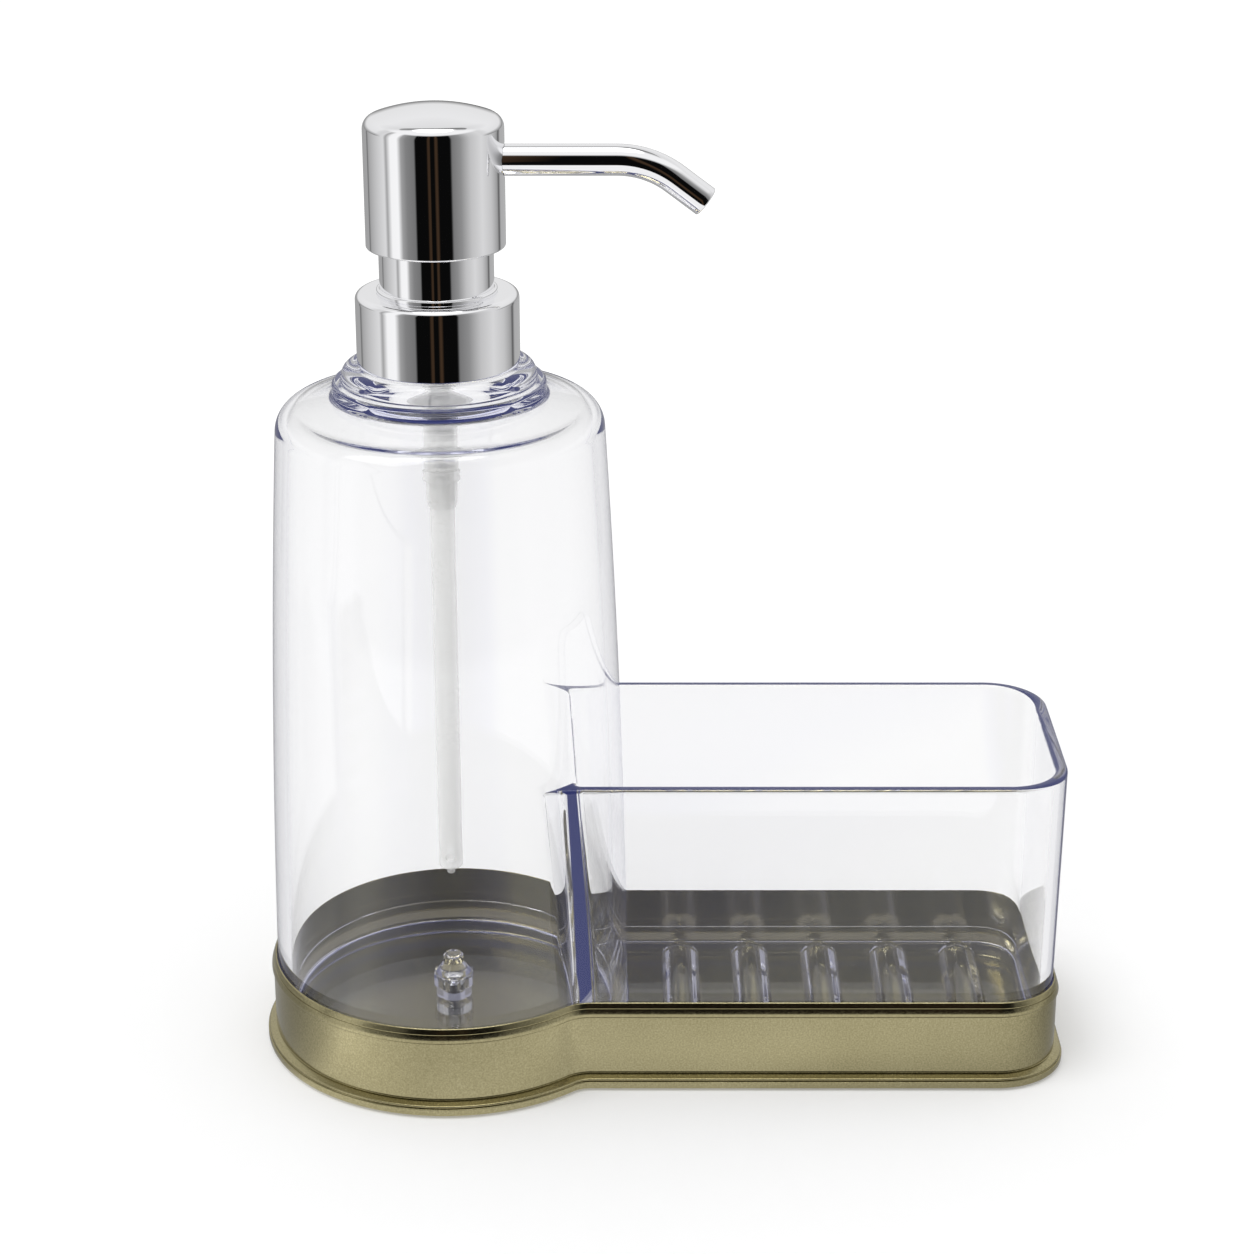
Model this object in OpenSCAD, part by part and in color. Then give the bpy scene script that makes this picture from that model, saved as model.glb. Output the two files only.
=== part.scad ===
// Soap pump caddy: a clear bottle with a press pump, moulded in one with an open box for sponges,
// standing in a metal tray. The bottle's axis is the Z axis, the table is the plane Z = 0, and the
// box lies towards +X. Lengths are millimetres and angles are degrees.

/* [Tray] */
// Radius of the tray's wall round the bottle
tray_r = 41.1; // [38:0.1:46]
// Half of the tray's depth along the box
tray_half_d = 29.2; // [24:0.1:32]
// Distance from the bottle's axis to the tray's far end
tray_end_x = 137; // [130:1:160]
// Radius of the tray's far corners
tray_corner_r = 14.5; // [10:0.5:20]
// Radius of the hollow corners between the tray's round end and its straight one
tray_notch_r = 8; // [3:0.5:14]
// Height of the tray's rim above the table
tray_h = 21; // [16:0.5:30]
// Thickness of the tray's metal
tray_t = 0.8; // [0.5:0.1:1.2]
// How far the foot flange stands out from the wall
flange_out = 1.9; // [0.8:0.1:4]
// Height of the foot flange
flange_h = 2.4; // [1.2:0.1:4]
// Gap between the foot flange and the table
flange_lift = 0.6; // [0.2:0.1:1.2]
// How far the rim's bead stands out from the wall
bead_out = 0.35; // [0.1:0.05:1]
// Height of the rim's bead
bead_h = 2.2; // [1:0.1:4]
// Thickness of the non-slip pad, which is also the height of the tray's floor
pad_t = 2.2; // [1.8:0.1:3]
// Distance from the pad's edge to the outside of the tray's wall
pad_inset = 2.5; // [1.5:0.5:8]

/* [Box] */
// Height of the box's rim above the table
box_rim_z = 73.4; // [50:0.1:100]
// How far each long wall leans out by the rim
box_flare = 2.2; // [0:0.1:3]
// How far the end wall leans out by the rim
box_end_lean = 0.2; // [0:0.1:2]
// Thickness of the box's walls
box_wall = 2.7; // [1.5:0.1:4]
// Height of the box's floor above the table, at its upper face
box_floor_z = 8.6; // [7:0.1:16]
// Thickness of the box's floor
box_floor_t = 2.4; // [1.5:0.1:3]
// Radius of the fillet round the box's floor
box_fillet = 3.4; // [1:0.1:6]
// Radius of the hollow blends between the box's outside and the bottle
blend_r = 9; // [3:0.5:12]
// Radius of the rounded crevices between the box's inside and the bottle
crevice_r = 2; // [0.5:0.1:4]
// Rounding of the box's rim
rim_round = 0.7; // [0.2:0.1:1]

/* [Ridges] */
// Number of ridges on the box's floor
ridge_count = 5; // [1:1:5]
// Distance between the ridges' centre lines
ridge_pitch = 16.4; // [12:0.1:17]
// Distance from the last ridge's centre line to the box's end wall
ridge_end_gap = 15; // [8:0.5:18]
// Distance from a ridge's end to the box's long wall
ridge_wall_gap = 3.4; // [1:0.1:12]
// Width of a ridge at the floor
ridge_w = 8; // [6:0.5:10]
// Width of a ridge at its top
ridge_top_w = 5; // [2:0.5:6]
// Height of a ridge
ridge_h = 2.6; // [1:0.1:5]

/* [Bottle] */
// Thickness of the bottle's wall
bottle_wall = 3; // [1.5:0.1:4]
// Radius of the bottle where the shoulder starts
bottle_top_r = 35.35; // [33:0.05:38]
// How far the side swells beyond a straight taper, at half height
bottle_swell = 0.74; // [0:0.02:1.5]
// Height of the shoulder's start above the table
shoulder_z = 145.6; // [120:0.1:180]
// Radius of the shoulder's rounding
shoulder_r = 6; // [4.5:0.5:9]
// Slope of the shoulder
shoulder_slope = 14; // [4:1:20]
// Radius of the lower neck ring
low_ring_r = 22.9; // [22:0.1:25]
// Height of the lower neck ring
low_ring_h = 3.1; // [2.6:0.1:4]
// Radius of the upper neck ring
high_ring_r = 20.85; // [20.5:0.05:21]
// Height of the upper neck ring
high_ring_h = 4.5; // [3.6:0.1:6]
// Depth of the recess that the collar sits in
collar_recess = 1.1; // [0.4:0.1:2]
// Radius of the threaded neck
neck_r = 12.8; // [12.4:0.1:13.2]
// Radius of the neck's bore
neck_bore_r = 11; // [9.5:0.1:11.2]
// Height of the neck above the upper neck ring
neck_h = 10.2; // [8:0.1:14]

/* [Reservoir floor] */
// Height of the reservoir's floor above the table, at its upper face
res_floor_z = 8.6; // [7.6:0.1:16]
// Thickness of the reservoir's floor
res_floor_t = 2.4; // [1.6:0.1:3]
// Radius of the fillet round the reservoir's floor
res_fillet = 5; // [2:0.5:8]
// Radius of the boss's foot
boss_foot_r = 4.1; // [3:0.1:4.4]
// Radius of the boss's faceted ring
boss_ring_r = 4.75; // [4.5:0.05:7]
// Radius of the boss's cap
boss_cap_r = 2.3; // [2.1:0.1:3]
// Height of the boss above the floor
boss_h = 10.3; // [8:0.1:14]

/* [Collar] */
// Radius of the chrome collar
collar_r = 17.35; // [16.8:0.05:17.6]
// Height of the chrome collar
collar_h = 15.5; // [15:0.1:19]
// Thickness of the collar's and sleeve's metal
collar_t = 0.75; // [0.5:0.05:1]
// Rounding of the collar's upper edge
collar_round = 1.4; // [0.8:0.1:2]
// Radius of the chrome sleeve
sleeve_r = 12.1; // [11.6:0.1:12.6]
// Height of the sleeve above the collar
sleeve_h = 12.8; // [11.5:0.1:13.2]
// How far the sleeve's lip stands out over the collar
sleeve_lip = 0.7; // [0.2:0.1:0.9]
// Height of the sleeve's lip
sleeve_lip_h = 0.9; // [0.4:0.1:1.4]

/* [Head] */
// Radius of the pump head
head_r = 14.7; // [14.6:0.1:17]
// Gap between the head and the collar at rest
head_gap = 9.8; // [8:0.1:10.4]
// Gap that is left under the head when it is pressed down
press_gap = 0.5; // [0.3:0.1:1.5]
// Height of the head's side up to the edge of its dome
head_side_h = 27.7; // [26:0.1:34]
// Rounding of the head's upper edge
head_round = 2.2; // [1:0.1:4]
// Slope of the dome at its edge
dome_slope = 17; // [6:1:30]
// Thickness of the head's metal
head_t = 0.9; // [0.5:0.1:1.2]

/* [Spout] */
// Height of the spout's axis above the head's rim
spout_rise = 18.1; // [17.6:0.1:20]
// Radius of the spout tube
spout_r = 3.3; // [2.8:0.1:3.6]
// Thickness of the spout tube's metal
spout_t = 0.6; // [0.3:0.1:1]
// Distance from the pump's axis to the start of the bend
spout_straight = 38; // [24:1:60]
// Radius of the bend's centre line
spout_bend_r = 20; // [8:1:40]
// Angle of the bend
spout_bend = 37; // [10:1:80]
// Length of the spout after the bend
spout_end = 8.1; // [2:0.1:20]

/* [Dip tube] */
// Radius of the dip tube
dip_r = 2.7; // [2.3:0.1:2.8]
// Radius of the dip tube's bore
dip_bore_r = 1.7; // [1.2:0.1:1.8]
// Height of the dip tube's foot above the table
dip_foot_z = 41.1; // [22:0.1:90]
// Radius of the nib at the dip tube's foot
nib_r = 0.9; // [0.7:0.1:1.4]
// Length of the nib
nib_h = 1.6; // [0.6:0.1:3]

/* [Return spring] */
// Radius of the spring's wire
wire_r = 0.3; // [0.2:0.05:0.35]
// Radius of the spring's centre line
coil_r = 2.3; // [2.2:0.05:2.4]
// Number of turns
coil_turns = 9; // [5:1:12]

/* [Hidden] */

// Cuts run past the faces that they open by this much
overrun = 1;
// Gap of a fit, on the radius or between two faces
fit_gap = 0.05;
// Gap round a part that is dropped or screwed into another
loose_gap = 0.25;
// Facets of a turned shape
turn_fn = 96;
// Segments of a quarter arc in a profile
arc_steps = 8;

// The tray's floor rests on the pad, and the bead and flange have a lower step at their edges
tray_floor_z = pad_t;
tray_floor_top = tray_floor_z + tray_t;
bead_step_share = 0.6;
bead_edge_share = 0.2;
flange_step_share = 0.75;
flange_edge_share = 0.2;

// The clear moulding stands on the tray's floor, a loose gap inside its wall
foot_z = tray_floor_top;
foot_inset = tray_t + loose_gap;
foot_r = tray_r - foot_inset;
foot_half_d = tray_half_d - foot_inset;
foot_end_x = tray_end_x - foot_inset;
foot_corner_r = tray_corner_r - foot_inset;
// How far a lofted wall passes the plane that cuts it
skim = 0.05;
// The hollow blends reach this far into the round wall that they join, so that the two are one
bite = 0.12;
box_floor_low = box_floor_z - box_floor_t;
last_ridge_x = foot_end_x - box_wall - ridge_end_gap;
// Least radius that a corner of the box's floor keeps as its fillet draws it in
least_corner_r = 0.1;
fillet_steps = 5;
round_steps = 3;
bottle_side_steps = 11;

// Shoulder, rings and neck of the bottle
side_steps = 10;
side_rise = shoulder_z - tray_h;
lean = atan((foot_r - bottle_top_r + 4 * bottle_swell) / side_rise);
shoulder_centre = [bottle_top_r - shoulder_r * cos(lean), shoulder_z - shoulder_r * sin(lean)];
slope_start = shoulder_centre + shoulder_r * [sin(shoulder_slope), cos(shoulder_slope)];
low_ring_z = slope_start[1] + (slope_start[0] - low_ring_r) * tan(shoulder_slope);
ring_fillet = 1.2;
low_ring_round = 0.9;
low_ring_step = 0.3;
high_ring_z = low_ring_z + low_ring_h;
high_ring_round = 2.6;
high_ring_top = high_ring_z + high_ring_h;
recess_z = high_ring_top - collar_recess;
recess_r = collar_r + 2 * fit_gap + loose_gap;
neck_top = high_ring_top + neck_h;
neck_edge = 0.5;
inner_shoulder_r = shoulder_r - bottle_wall;
inner_slope_start = shoulder_centre + inner_shoulder_r * [sin(shoulder_slope), cos(shoulder_slope)];
bore_foot_z = inner_slope_start[1] + (inner_slope_start[0] - neck_bore_r) * tan(shoulder_slope);

// Thread on the neck
thread_pitch = 3.2;
thread_turns = 1.25;
thread_out = 1;
thread_root = 0.3;
thread_w = 2;
thread_crest_w = 0.8;
thread_drop = 2.4;
thread_steps = 40;
thread_fade = 5;

// Reservoir floor, held against a ledge in the foot of the bottle's wall
ledge_in = 1.3;
ledge_r = foot_r - bottle_wall + ledge_in;
ledge_z = res_floor_z - res_floor_t / 2;
res_rim_r = ledge_r - fit_gap;
res_top_r = foot_r - bottle_wall - fit_gap;
fillet_tip = 0.3;
boss_base_z = tray_floor_top;
boss_ring_share = 0.25;
boss_cone_share = 0.55;
boss_cap_share = 0.78;
boss_sides = 8;
boss_chamfer = 0.6;

// Screw from below into the boss
screw_r = 1.5;
screw_len = 10.5;
screw_tip = 0.6;
screw_head_r = 2.8;
screw_head_h = 0.9;
screw_slot_w = 0.8;
screw_slot_l = 3.4;
screw_slot_d = 0.5;
washer_t = 0.4;
washer_r = 3.2;
screw_top_z = tray_floor_z - washer_t;
screw_hole_r = screw_r + fit_gap;
screw_pass_r = screw_r + loose_gap;
pad_recess_r = washer_r + loose_gap;
pad_recess_z = screw_top_z - screw_head_h - loose_gap;

// Stack on the neck: gasket, housing flange, liner web, collar top
gasket_t = 1;
gasket_r = 12.6;
gasket_in_r = 9.3;
housing_flange_z = neck_top + gasket_t;
housing_flange_t = 1.2;
housing_top = housing_flange_z + housing_flange_t;
liner_web_z = housing_top + fit_gap;
collar_z = recess_z + loose_gap;
collar_top = collar_z + collar_h;
liner_web_top = collar_top - collar_t;
liner_out_r = collar_r - collar_t - fit_gap;
liner_in_r = neck_r + thread_out + loose_gap;
liner_hole_r = 9.5;
sleeve_in_r = sleeve_r - collar_t;
sleeve_top = collar_top + sleeve_h;
tower_r = sleeve_in_r - fit_gap;
tower_t = 0.8;
tower_top = sleeve_top - tower_t;
collar_hole_r = sleeve_r + fit_gap;

// Pump housing: a cup in the neck, a cone and a stepped barrel below
cup_t = 1.2;
cup_bore_r = 6;
cup_r = cup_bore_r + cup_t;
cup_h = 20.9;
cone_h = 5.5;
barrel_r = 4.2;
barrel_h = 2.6;
low_barrel_r = 3.65;
low_barrel_h = 8.7;
barrel_bore_r = 2.9;
cup_low = housing_top - cup_h;
cone_low = cup_low - cone_h;
barrel_low = cone_low - barrel_h;
housing_low = barrel_low - low_barrel_h;
cup_floor_z = cup_low + cup_t;

// Inlet seat under the housing, with its spigot in the barrel
seat_flange_r = 4.1;
seat_flange_t = 1.6;
seat_r = 3.4;
seat_h = 4.5;
seat_chamfer = 1.7;
seat_chamfer_r = 3;
seat_low = housing_low - seat_flange_t - seat_h - seat_chamfer;
spigot_h = 2;
spigot_top = housing_low + spigot_h;
ball_r = 1.75;
ball_port_r = 1.1;
ball_seat_depth = 0.8;
ball_seat_r = ball_r;
dip_socket_r = dip_r + fit_gap;
dip_top = housing_low - seat_flange_t / 2;
dip_bung = 1;
dip_port_r = 1.1;

// The inlet ball rests on the seat's cone and lifts to the cage
inlet_lift = 1.2;
seat_angle = atan((ball_seat_r - ball_port_r) / ball_seat_depth);
ball_rest = (ball_r + fit_gap) / sin(seat_angle) - ball_port_r / tan(seat_angle);
inlet_ball_z = spigot_top - ball_seat_depth + ball_rest;
cage_t = 1.2;
cage_bore_r = 1.2;
cage_z = inlet_ball_z + ball_r + inlet_lift + loose_gap;
cage_top = cage_z + cage_t;

// Plunger, with the outlet ball in the top of its stem
stroke = head_gap - press_gap;
stem_r = 3.2;
stem_bore_r = 0.9;
stem_rise = 2.2;
stem_z = cup_low + stroke + stem_rise;
nose_r = 1.7;
nose_h = 5;
piston_rise = 1.5;
piston_z = stem_z + piston_rise;
piston_h = 4;
piston_lip_h = 1;
piston_waist = 0.8;
piston_r = cup_bore_r - fit_gap;
plate_rise = 1;
plate_z = sleeve_top + stroke + plate_rise;
plate_t = 2;
stem_top_drop = 1.5;
stem_top = plate_z - stem_top_drop;
outlet_ball_r = 1.5;
outlet_lift = 1;
chamber_r = 1.9;
chamber_seat_depth = 1.2;
chamber_angle = atan((chamber_r - stem_bore_r) / chamber_seat_depth);
outlet_rest = (outlet_ball_r + fit_gap) / sin(chamber_angle) - stem_bore_r / tan(chamber_angle);
outlet_ball_z = stem_top - loose_gap - outlet_lift - outlet_ball_r;
chamber_port_z = outlet_ball_z - outlet_rest;

// Guide that closes the housing round the stem
guide_bore_r = stem_r + fit_gap;
guide_flange_r = 8;
guide_flange_t = 1.6;
guide_plug_gap = 0.5;
guide_plug_z = piston_z + piston_h + guide_plug_gap;
guide_top = housing_top + guide_flange_t;

// Spring between the cage and the stem
spring_z = cage_top + fit_gap;
spring_top = stem_z - fit_gap;
spring_rings = 8;
spring_sides = 6;
spring_pitch = (spring_top - spring_z - 2 * wire_r) / coil_turns;
spring_angles = [for (i = [0:coil_turns * spring_rings]) 360 * i / spring_rings];
spring_line = [for (a = spring_angles)
    [coil_r * cos(a), coil_r * sin(a), spring_z + wire_r + spring_pitch * a / 360]];

// Head: dome, actuator and ports
head_z = collar_top + head_gap;
head_corner_z = head_z + head_side_h;
dome_r = head_r / sin(dome_slope);
dome_centre = [0, head_corner_z - dome_r * cos(dome_slope)];
head_round_r = head_r - head_round;
head_round_centre = [head_round_r,
    dome_centre[1] + sqrt(pow(dome_r - head_round, 2) - pow(head_round_r, 2))];
head_round_angle = atan2(head_round_centre[1] - dome_centre[1], head_round_r);
spout_z = head_z + spout_rise;
spout_in_r = spout_r - spout_t;
spout_root_x = 8;
spout_port_r = spout_r + fit_gap;
liner_r = spout_in_r - fit_gap;
liner_bore_r = 1.5;
liner_recess = 0.8;
bend_end = [spout_straight + spout_bend_r * sin(spout_bend), 0,
    spout_z - spout_bend_r + spout_bend_r * cos(spout_bend)];
bend_steps = 10;
spout_sides = 32;
actuator_r = head_r - head_t - fit_gap;
actuator_rim_t = 1.5;
hub_r = 5.2;
hub_rise = 1.5;
hub_z = guide_top + stroke + hub_rise;
port_boss_r = 4.6;
port_boss_x = sqrt(pow(actuator_r, 2) - pow(port_boss_r, 2));
hub_top = spout_z + port_boss_r;
actuator_top = hub_top + fit_gap;
channel_r = 1.2;

// Points on an arc about a centre, from one angle to another
function arc(centre, r, from, to, steps = arc_steps) =
    [for (i = [0:steps]) let (a = from + (to - from) * i / steps) centre + r * [cos(a), sin(a)]];

// A half loop of points with y above zero, closed by its mirror image
function mirrored(half) =
    concat(half, [for (i = [len(half) - 1:-1:0]) [half[i][0], -half[i][1]]]);

// Radius of the bottle's outside at a height
function side_r(z) = let (t = max(0, (z - tray_h) / side_rise))
    foot_r - (foot_r - bottle_top_r) * t + 4 * bottle_swell * t * (1 - t);

// How far the box's walls have leaned out at a height, from none to the whole
function lean_share(z) = max(0, (z - tray_h) / (box_rim_z - tray_h));

// Outline of the box's outside at a height, drawn in by an inset
function box_outline(z, inset) = let (
    r = side_r(z) - bite,
    d = foot_half_d + box_flare * lean_share(z) - inset,
    x = foot_end_x + box_end_lean * lean_share(z) - inset,
    c = foot_corner_r - inset,
    q = blend_r + inset,
    blend = [sqrt(pow(r + q, 2) - pow(d + q, 2)), d + q]
) mirrored(concat(
    arc([x - c, d - c], c, 0, 90),
    arc(blend, q, 270, 180 + atan2(blend[1], blend[0]))
));

// Outline of the box's inside at a height, drawn in by an inset. It follows the bottle, just
// inside its surface where there is no inset.
function cavity_outline(z, inset) = let (
    r = side_r(z) - bite + inset,
    d = foot_half_d + box_flare * lean_share(z) - box_wall - inset,
    x = foot_end_x + box_end_lean * lean_share(z) - box_wall - inset,
    c = max(foot_corner_r - box_wall - inset, least_corner_r),
    q = max(crevice_r - inset, least_corner_r),
    crevice = [sqrt(pow(r + q, 2) - pow(d - q, 2)), d - q],
    turn = atan2(crevice[1], crevice[0])
) mirrored(concat(
    arc([x - c, d - c], c, 0, 90),
    arc(crevice, q, 90, 180 + turn),
    [for (i = [1:floor(bottle_side_steps / 2)]) let (a = turn - 2 * turn * i / bottle_side_steps)
        r * [cos(a), sin(a)]]
));

// A closed solid through loops of points at rising heights
module skin(loops, heights) {
    n = len(loops[0]);
    last = (len(loops) - 1) * n;
    sides = [for (k = [0:len(loops) - 2], i = [0:n - 1]) let (
            a = k * n + i,
            b = k * n + (i + 1) % n
        ) each [[a, a + n, b + n], [a, b + n, b]]];
    polyhedron(
        points = [for (k = [0:len(loops) - 1], p = loops[k]) [p[0], p[1], heights[k]]],
        faces = concat([[for (i = [0:n - 1]) i]], sides, [[for (i = [n - 1:-1:0]) last + i]])
    );
}

// Ring shaped solid between two radii and two heights
module ring(r, hole_r, low, high) {
    difference() {
        translate([0, 0, low]) cylinder(r = r, h = high - low, $fn = turn_fn);
        bore(hole_r, low - overrun, high + overrun);
    }
}

// Round bar along the Z axis, used as a bore as well
module bore(r, low, high) {
    translate([0, 0, low]) cylinder(r = r, h = high - low, $fn = turn_fn);
}

// Plan of the tray's wall, grown by a distance
module keyhole(grow) {
    r = tray_r + grow;
    d = tray_half_d + grow;
    x = tray_end_x + grow;
    c = tray_corner_r + grow;
    q = tray_notch_r - grow;
    notch = [sqrt(pow(r - bite + q, 2) - pow(d + q, 2)), d + q];
    circle(r = r, $fn = turn_fn);
    translate([0, -d]) square([x - c, 2 * d]);
    translate([0, c - d]) square([x, 2 * (d - c)]);
    for (side = [-1, 1]) translate([x - c, side * (d - c)]) circle(r = c, $fn = turn_fn);
    difference() {
        polygon([[0, 0], [notch[0], -notch[1]], notch]);
        for (side = [-1, 1]) translate([notch[0], side * notch[1]]) circle(r = q, $fn = turn_fn);
    }
}

// Slab with the tray's plan
module keyhole_slab(grow, low, high) {
    translate([0, 0, low]) linear_extrude(high - low) keyhole(grow);
}

module base_tray() color([0.60, 0.55, 0.40]) {
    difference() {
        union() {
            keyhole_slab(0, flange_lift, tray_h);
            keyhole_slab(bead_out * bead_step_share, tray_h - bead_h, tray_h);
            keyhole_slab(bead_out, tray_h - bead_h * (1 - bead_edge_share),
                tray_h - bead_h * bead_edge_share);
            keyhole_slab(flange_out * flange_step_share, flange_lift, flange_lift + flange_h);
            keyhole_slab(flange_out, flange_lift + flange_h * flange_edge_share,
                flange_lift + flange_h * (1 - flange_edge_share));
        }
        keyhole_slab(-tray_t, tray_floor_top, tray_h + overrun);
        keyhole_slab(-tray_t, flange_lift - overrun, tray_floor_z);
        bore(screw_pass_r, tray_floor_z - overrun, tray_floor_top + overrun);
    }
}

// Pad under the tray's floor, with a hollow on its upper side that hides the screw's head
module grip_pad() color([0.25, 0.25, 0.25]) {
    difference() {
        keyhole_slab(-pad_inset, 0, pad_t);
        bore(pad_recess_r, pad_recess_z, pad_t + overrun);
    }
}

module base_screw() color([0.75, 0.75, 0.78]) {
    difference() {
        union() {
            bore(screw_head_r, screw_top_z - screw_head_h, screw_top_z);
            bore(screw_r, screw_top_z, screw_top_z + screw_len - screw_tip);
            translate([0, 0, screw_top_z + screw_len - screw_tip])
                cylinder(r1 = screw_r, r2 = screw_r - screw_tip, h = screw_tip, $fn = turn_fn);
        }
        for (turn = [0, 90]) rotate(turn)
            translate([-screw_slot_l / 2, -screw_slot_w / 2, screw_top_z - screw_head_h - overrun])
                cube([screw_slot_l, screw_slot_w, screw_slot_d + overrun]);
    }
}

module screw_washer() color([0.70, 0.70, 0.72]) {
    ring(washer_r, screw_hole_r, screw_top_z, tray_floor_z);
}

// Half section of the bottle's outside, with the shoulder, the two rings and the neck
bottle_outside = concat(
    [[0, foot_z], [foot_r, foot_z]],
    [for (i = [0:side_steps]) let (z = tray_h + side_rise * i / side_steps) [side_r(z), z]],
    arc(shoulder_centre, shoulder_r, lean, 90 - shoulder_slope),
    arc([low_ring_r + ring_fillet,
            low_ring_z + ring_fillet * (1 - sin(shoulder_slope)) / cos(shoulder_slope)],
        ring_fillet, 270 - shoulder_slope, 180),
    arc([low_ring_r - low_ring_round, high_ring_z - low_ring_round], low_ring_round, 0, 90),
    [[high_ring_r, high_ring_z + low_ring_step]],
    arc([high_ring_r - high_ring_round, high_ring_top - high_ring_round], high_ring_round, 0, 90),
    [[recess_r, high_ring_top], [recess_r, recess_z], [neck_r, recess_z],
        [neck_r, neck_top - neck_edge], [neck_r - neck_edge, neck_top], [0, neck_top]]
);

// Half section of the bottle's inside, open below, with the ledge for the reservoir's floor
bottle_inside = concat(
    [[0, foot_z - overrun], [ledge_r, foot_z - overrun], [ledge_r, ledge_z],
        [foot_r - bottle_wall, ledge_z]],
    [for (i = [0:side_steps - 1]) let (z = tray_h + side_rise * i / side_steps)
        [side_r(z) - bottle_wall, z]],
    arc(shoulder_centre, inner_shoulder_r, lean, 90 - shoulder_slope),
    [[neck_bore_r, bore_foot_z], [neck_bore_r, neck_top + overrun], [0, neck_top + overrun]]
);

// Screw thread on the neck, one unbroken ridge that fades out at both ends
module neck_thread() {
    top_z = neck_top - thread_drop;
    stations = [for (i = [0:thread_steps]) let (
            turn = 360 * thread_turns * i / thread_steps,
            z = top_z - thread_pitch * thread_turns * (1 - i / thread_steps),
            fade = min(1, min(i, thread_steps - i) / thread_fade),
            crest_r = neck_r + thread_out * fade
        ) [for (p = [
            [neck_r - thread_root, -thread_w / 2], [crest_r, -thread_crest_w / 2],
            [crest_r, thread_crest_w / 2], [neck_r - thread_root, thread_w / 2]
        ]) [p[0] * cos(turn), p[0] * sin(turn), z + p[1]]]];
    tube(stations);
}

// A closed solid through loops of points in space, with flat ends
module tube(stations) {
    n = len(stations[0]);
    last = (len(stations) - 1) * n;
    polyhedron(
        points = [for (s = stations, p = s) p],
        faces = concat(
            [[for (i = [n - 1:-1:0]) i]],
            [for (k = [0:len(stations) - 2], i = [0:n - 1]) let (
                    a = k * n + i,
                    b = k * n + (i + 1) % n
                ) each [[a, b, b + n], [a, b + n, a + n]]],
            [[for (i = [0:n - 1]) last + i]]
        )
    );
}

// Ridge across the box's floor, with sloping sides and round ends
module ridge() {
    reach = foot_half_d - box_wall - ridge_wall_gap - ridge_w / 2;
    root = box_floor_t / 2;
    translate([0, 0, -root])
        for (side = [-1, 1]) translate([0, side * reach, 0]) {
            cylinder(r = ridge_w / 2, h = root, $fn = turn_fn);
            translate([0, 0, root])
                cylinder(r1 = ridge_w / 2, r2 = ridge_top_w / 2, h = ridge_h, $fn = turn_fn);
        }
    rotate([90, 0, 0]) translate([0, 0, -reach]) linear_extrude(2 * reach) polygon([
        [-ridge_w / 2, -root], [ridge_w / 2, -root], [ridge_w / 2, 0],
        [ridge_top_w / 2, ridge_h], [-ridge_top_w / 2, ridge_h], [-ridge_w / 2, 0]
    ]);
}

// Outside of the box, with the rounding of its rim. Its foot and its rim are cut flat.
module box_block() {
    turns = [for (i = [0:round_steps - 1]) 90 * i / round_steps];
    heights = concat(
        [foot_z - overrun, tray_h],
        [for (a = turns) box_rim_z - rim_round * (1 - sin(a))],
        [box_rim_z + skim]
    );
    insets = concat([0, 0], [for (a = turns) rim_round * (1 - cos(a))], [rim_round]);
    intersection() {
        skin([for (k = [0:len(heights) - 1]) box_outline(heights[k], insets[k])], heights);
        translate([-tray_end_x, -tray_end_x, foot_z + bite])
            cube([2 * tray_end_x, 2 * tray_end_x, box_rim_z - foot_z - bite]);
    }
}

// Inside of the box, with the fillet round its floor and the rounding of its rim
module box_space() {
    foot_turns = [for (i = [0:fillet_steps]) 90 * i / fillet_steps];
    rim_turns = [for (i = [0:round_steps - 1]) 90 * i / round_steps];
    heights = concat(
        [for (a = foot_turns) box_floor_z + box_fillet * (1 - cos(a))],
        [tray_h],
        [for (a = rim_turns) box_rim_z - rim_round * (1 - sin(a))],
        [box_rim_z + skim, box_rim_z + overrun]
    );
    insets = concat(
        [for (a = foot_turns) box_fillet * (1 - sin(a))],
        [0],
        [for (a = rim_turns) -rim_round * (1 - cos(a))],
        [-rim_round, -rim_round]
    );
    skin([for (k = [0:len(heights) - 1]) cavity_outline(heights[k], insets[k])], heights);
}

module clear_body() color([0.85, 0.87, 0.92, 0.4]) {
    difference() {
        union() {
            rotate_extrude($fn = turn_fn) polygon(bottle_outside);
            difference() {
                box_block();
                box_space();
                translate([0, 0, foot_z - overrun])
                    linear_extrude(box_floor_low - foot_z + overrun) polygon(cavity_outline(foot_z, 0));
            }
            for (i = [0:ridge_count - 1])
                translate([last_ridge_x - ridge_pitch * i, 0, box_floor_z]) ridge();
            neck_thread();
        }
        rotate_extrude($fn = turn_fn) polygon(bottle_inside);
    }
}

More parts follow.
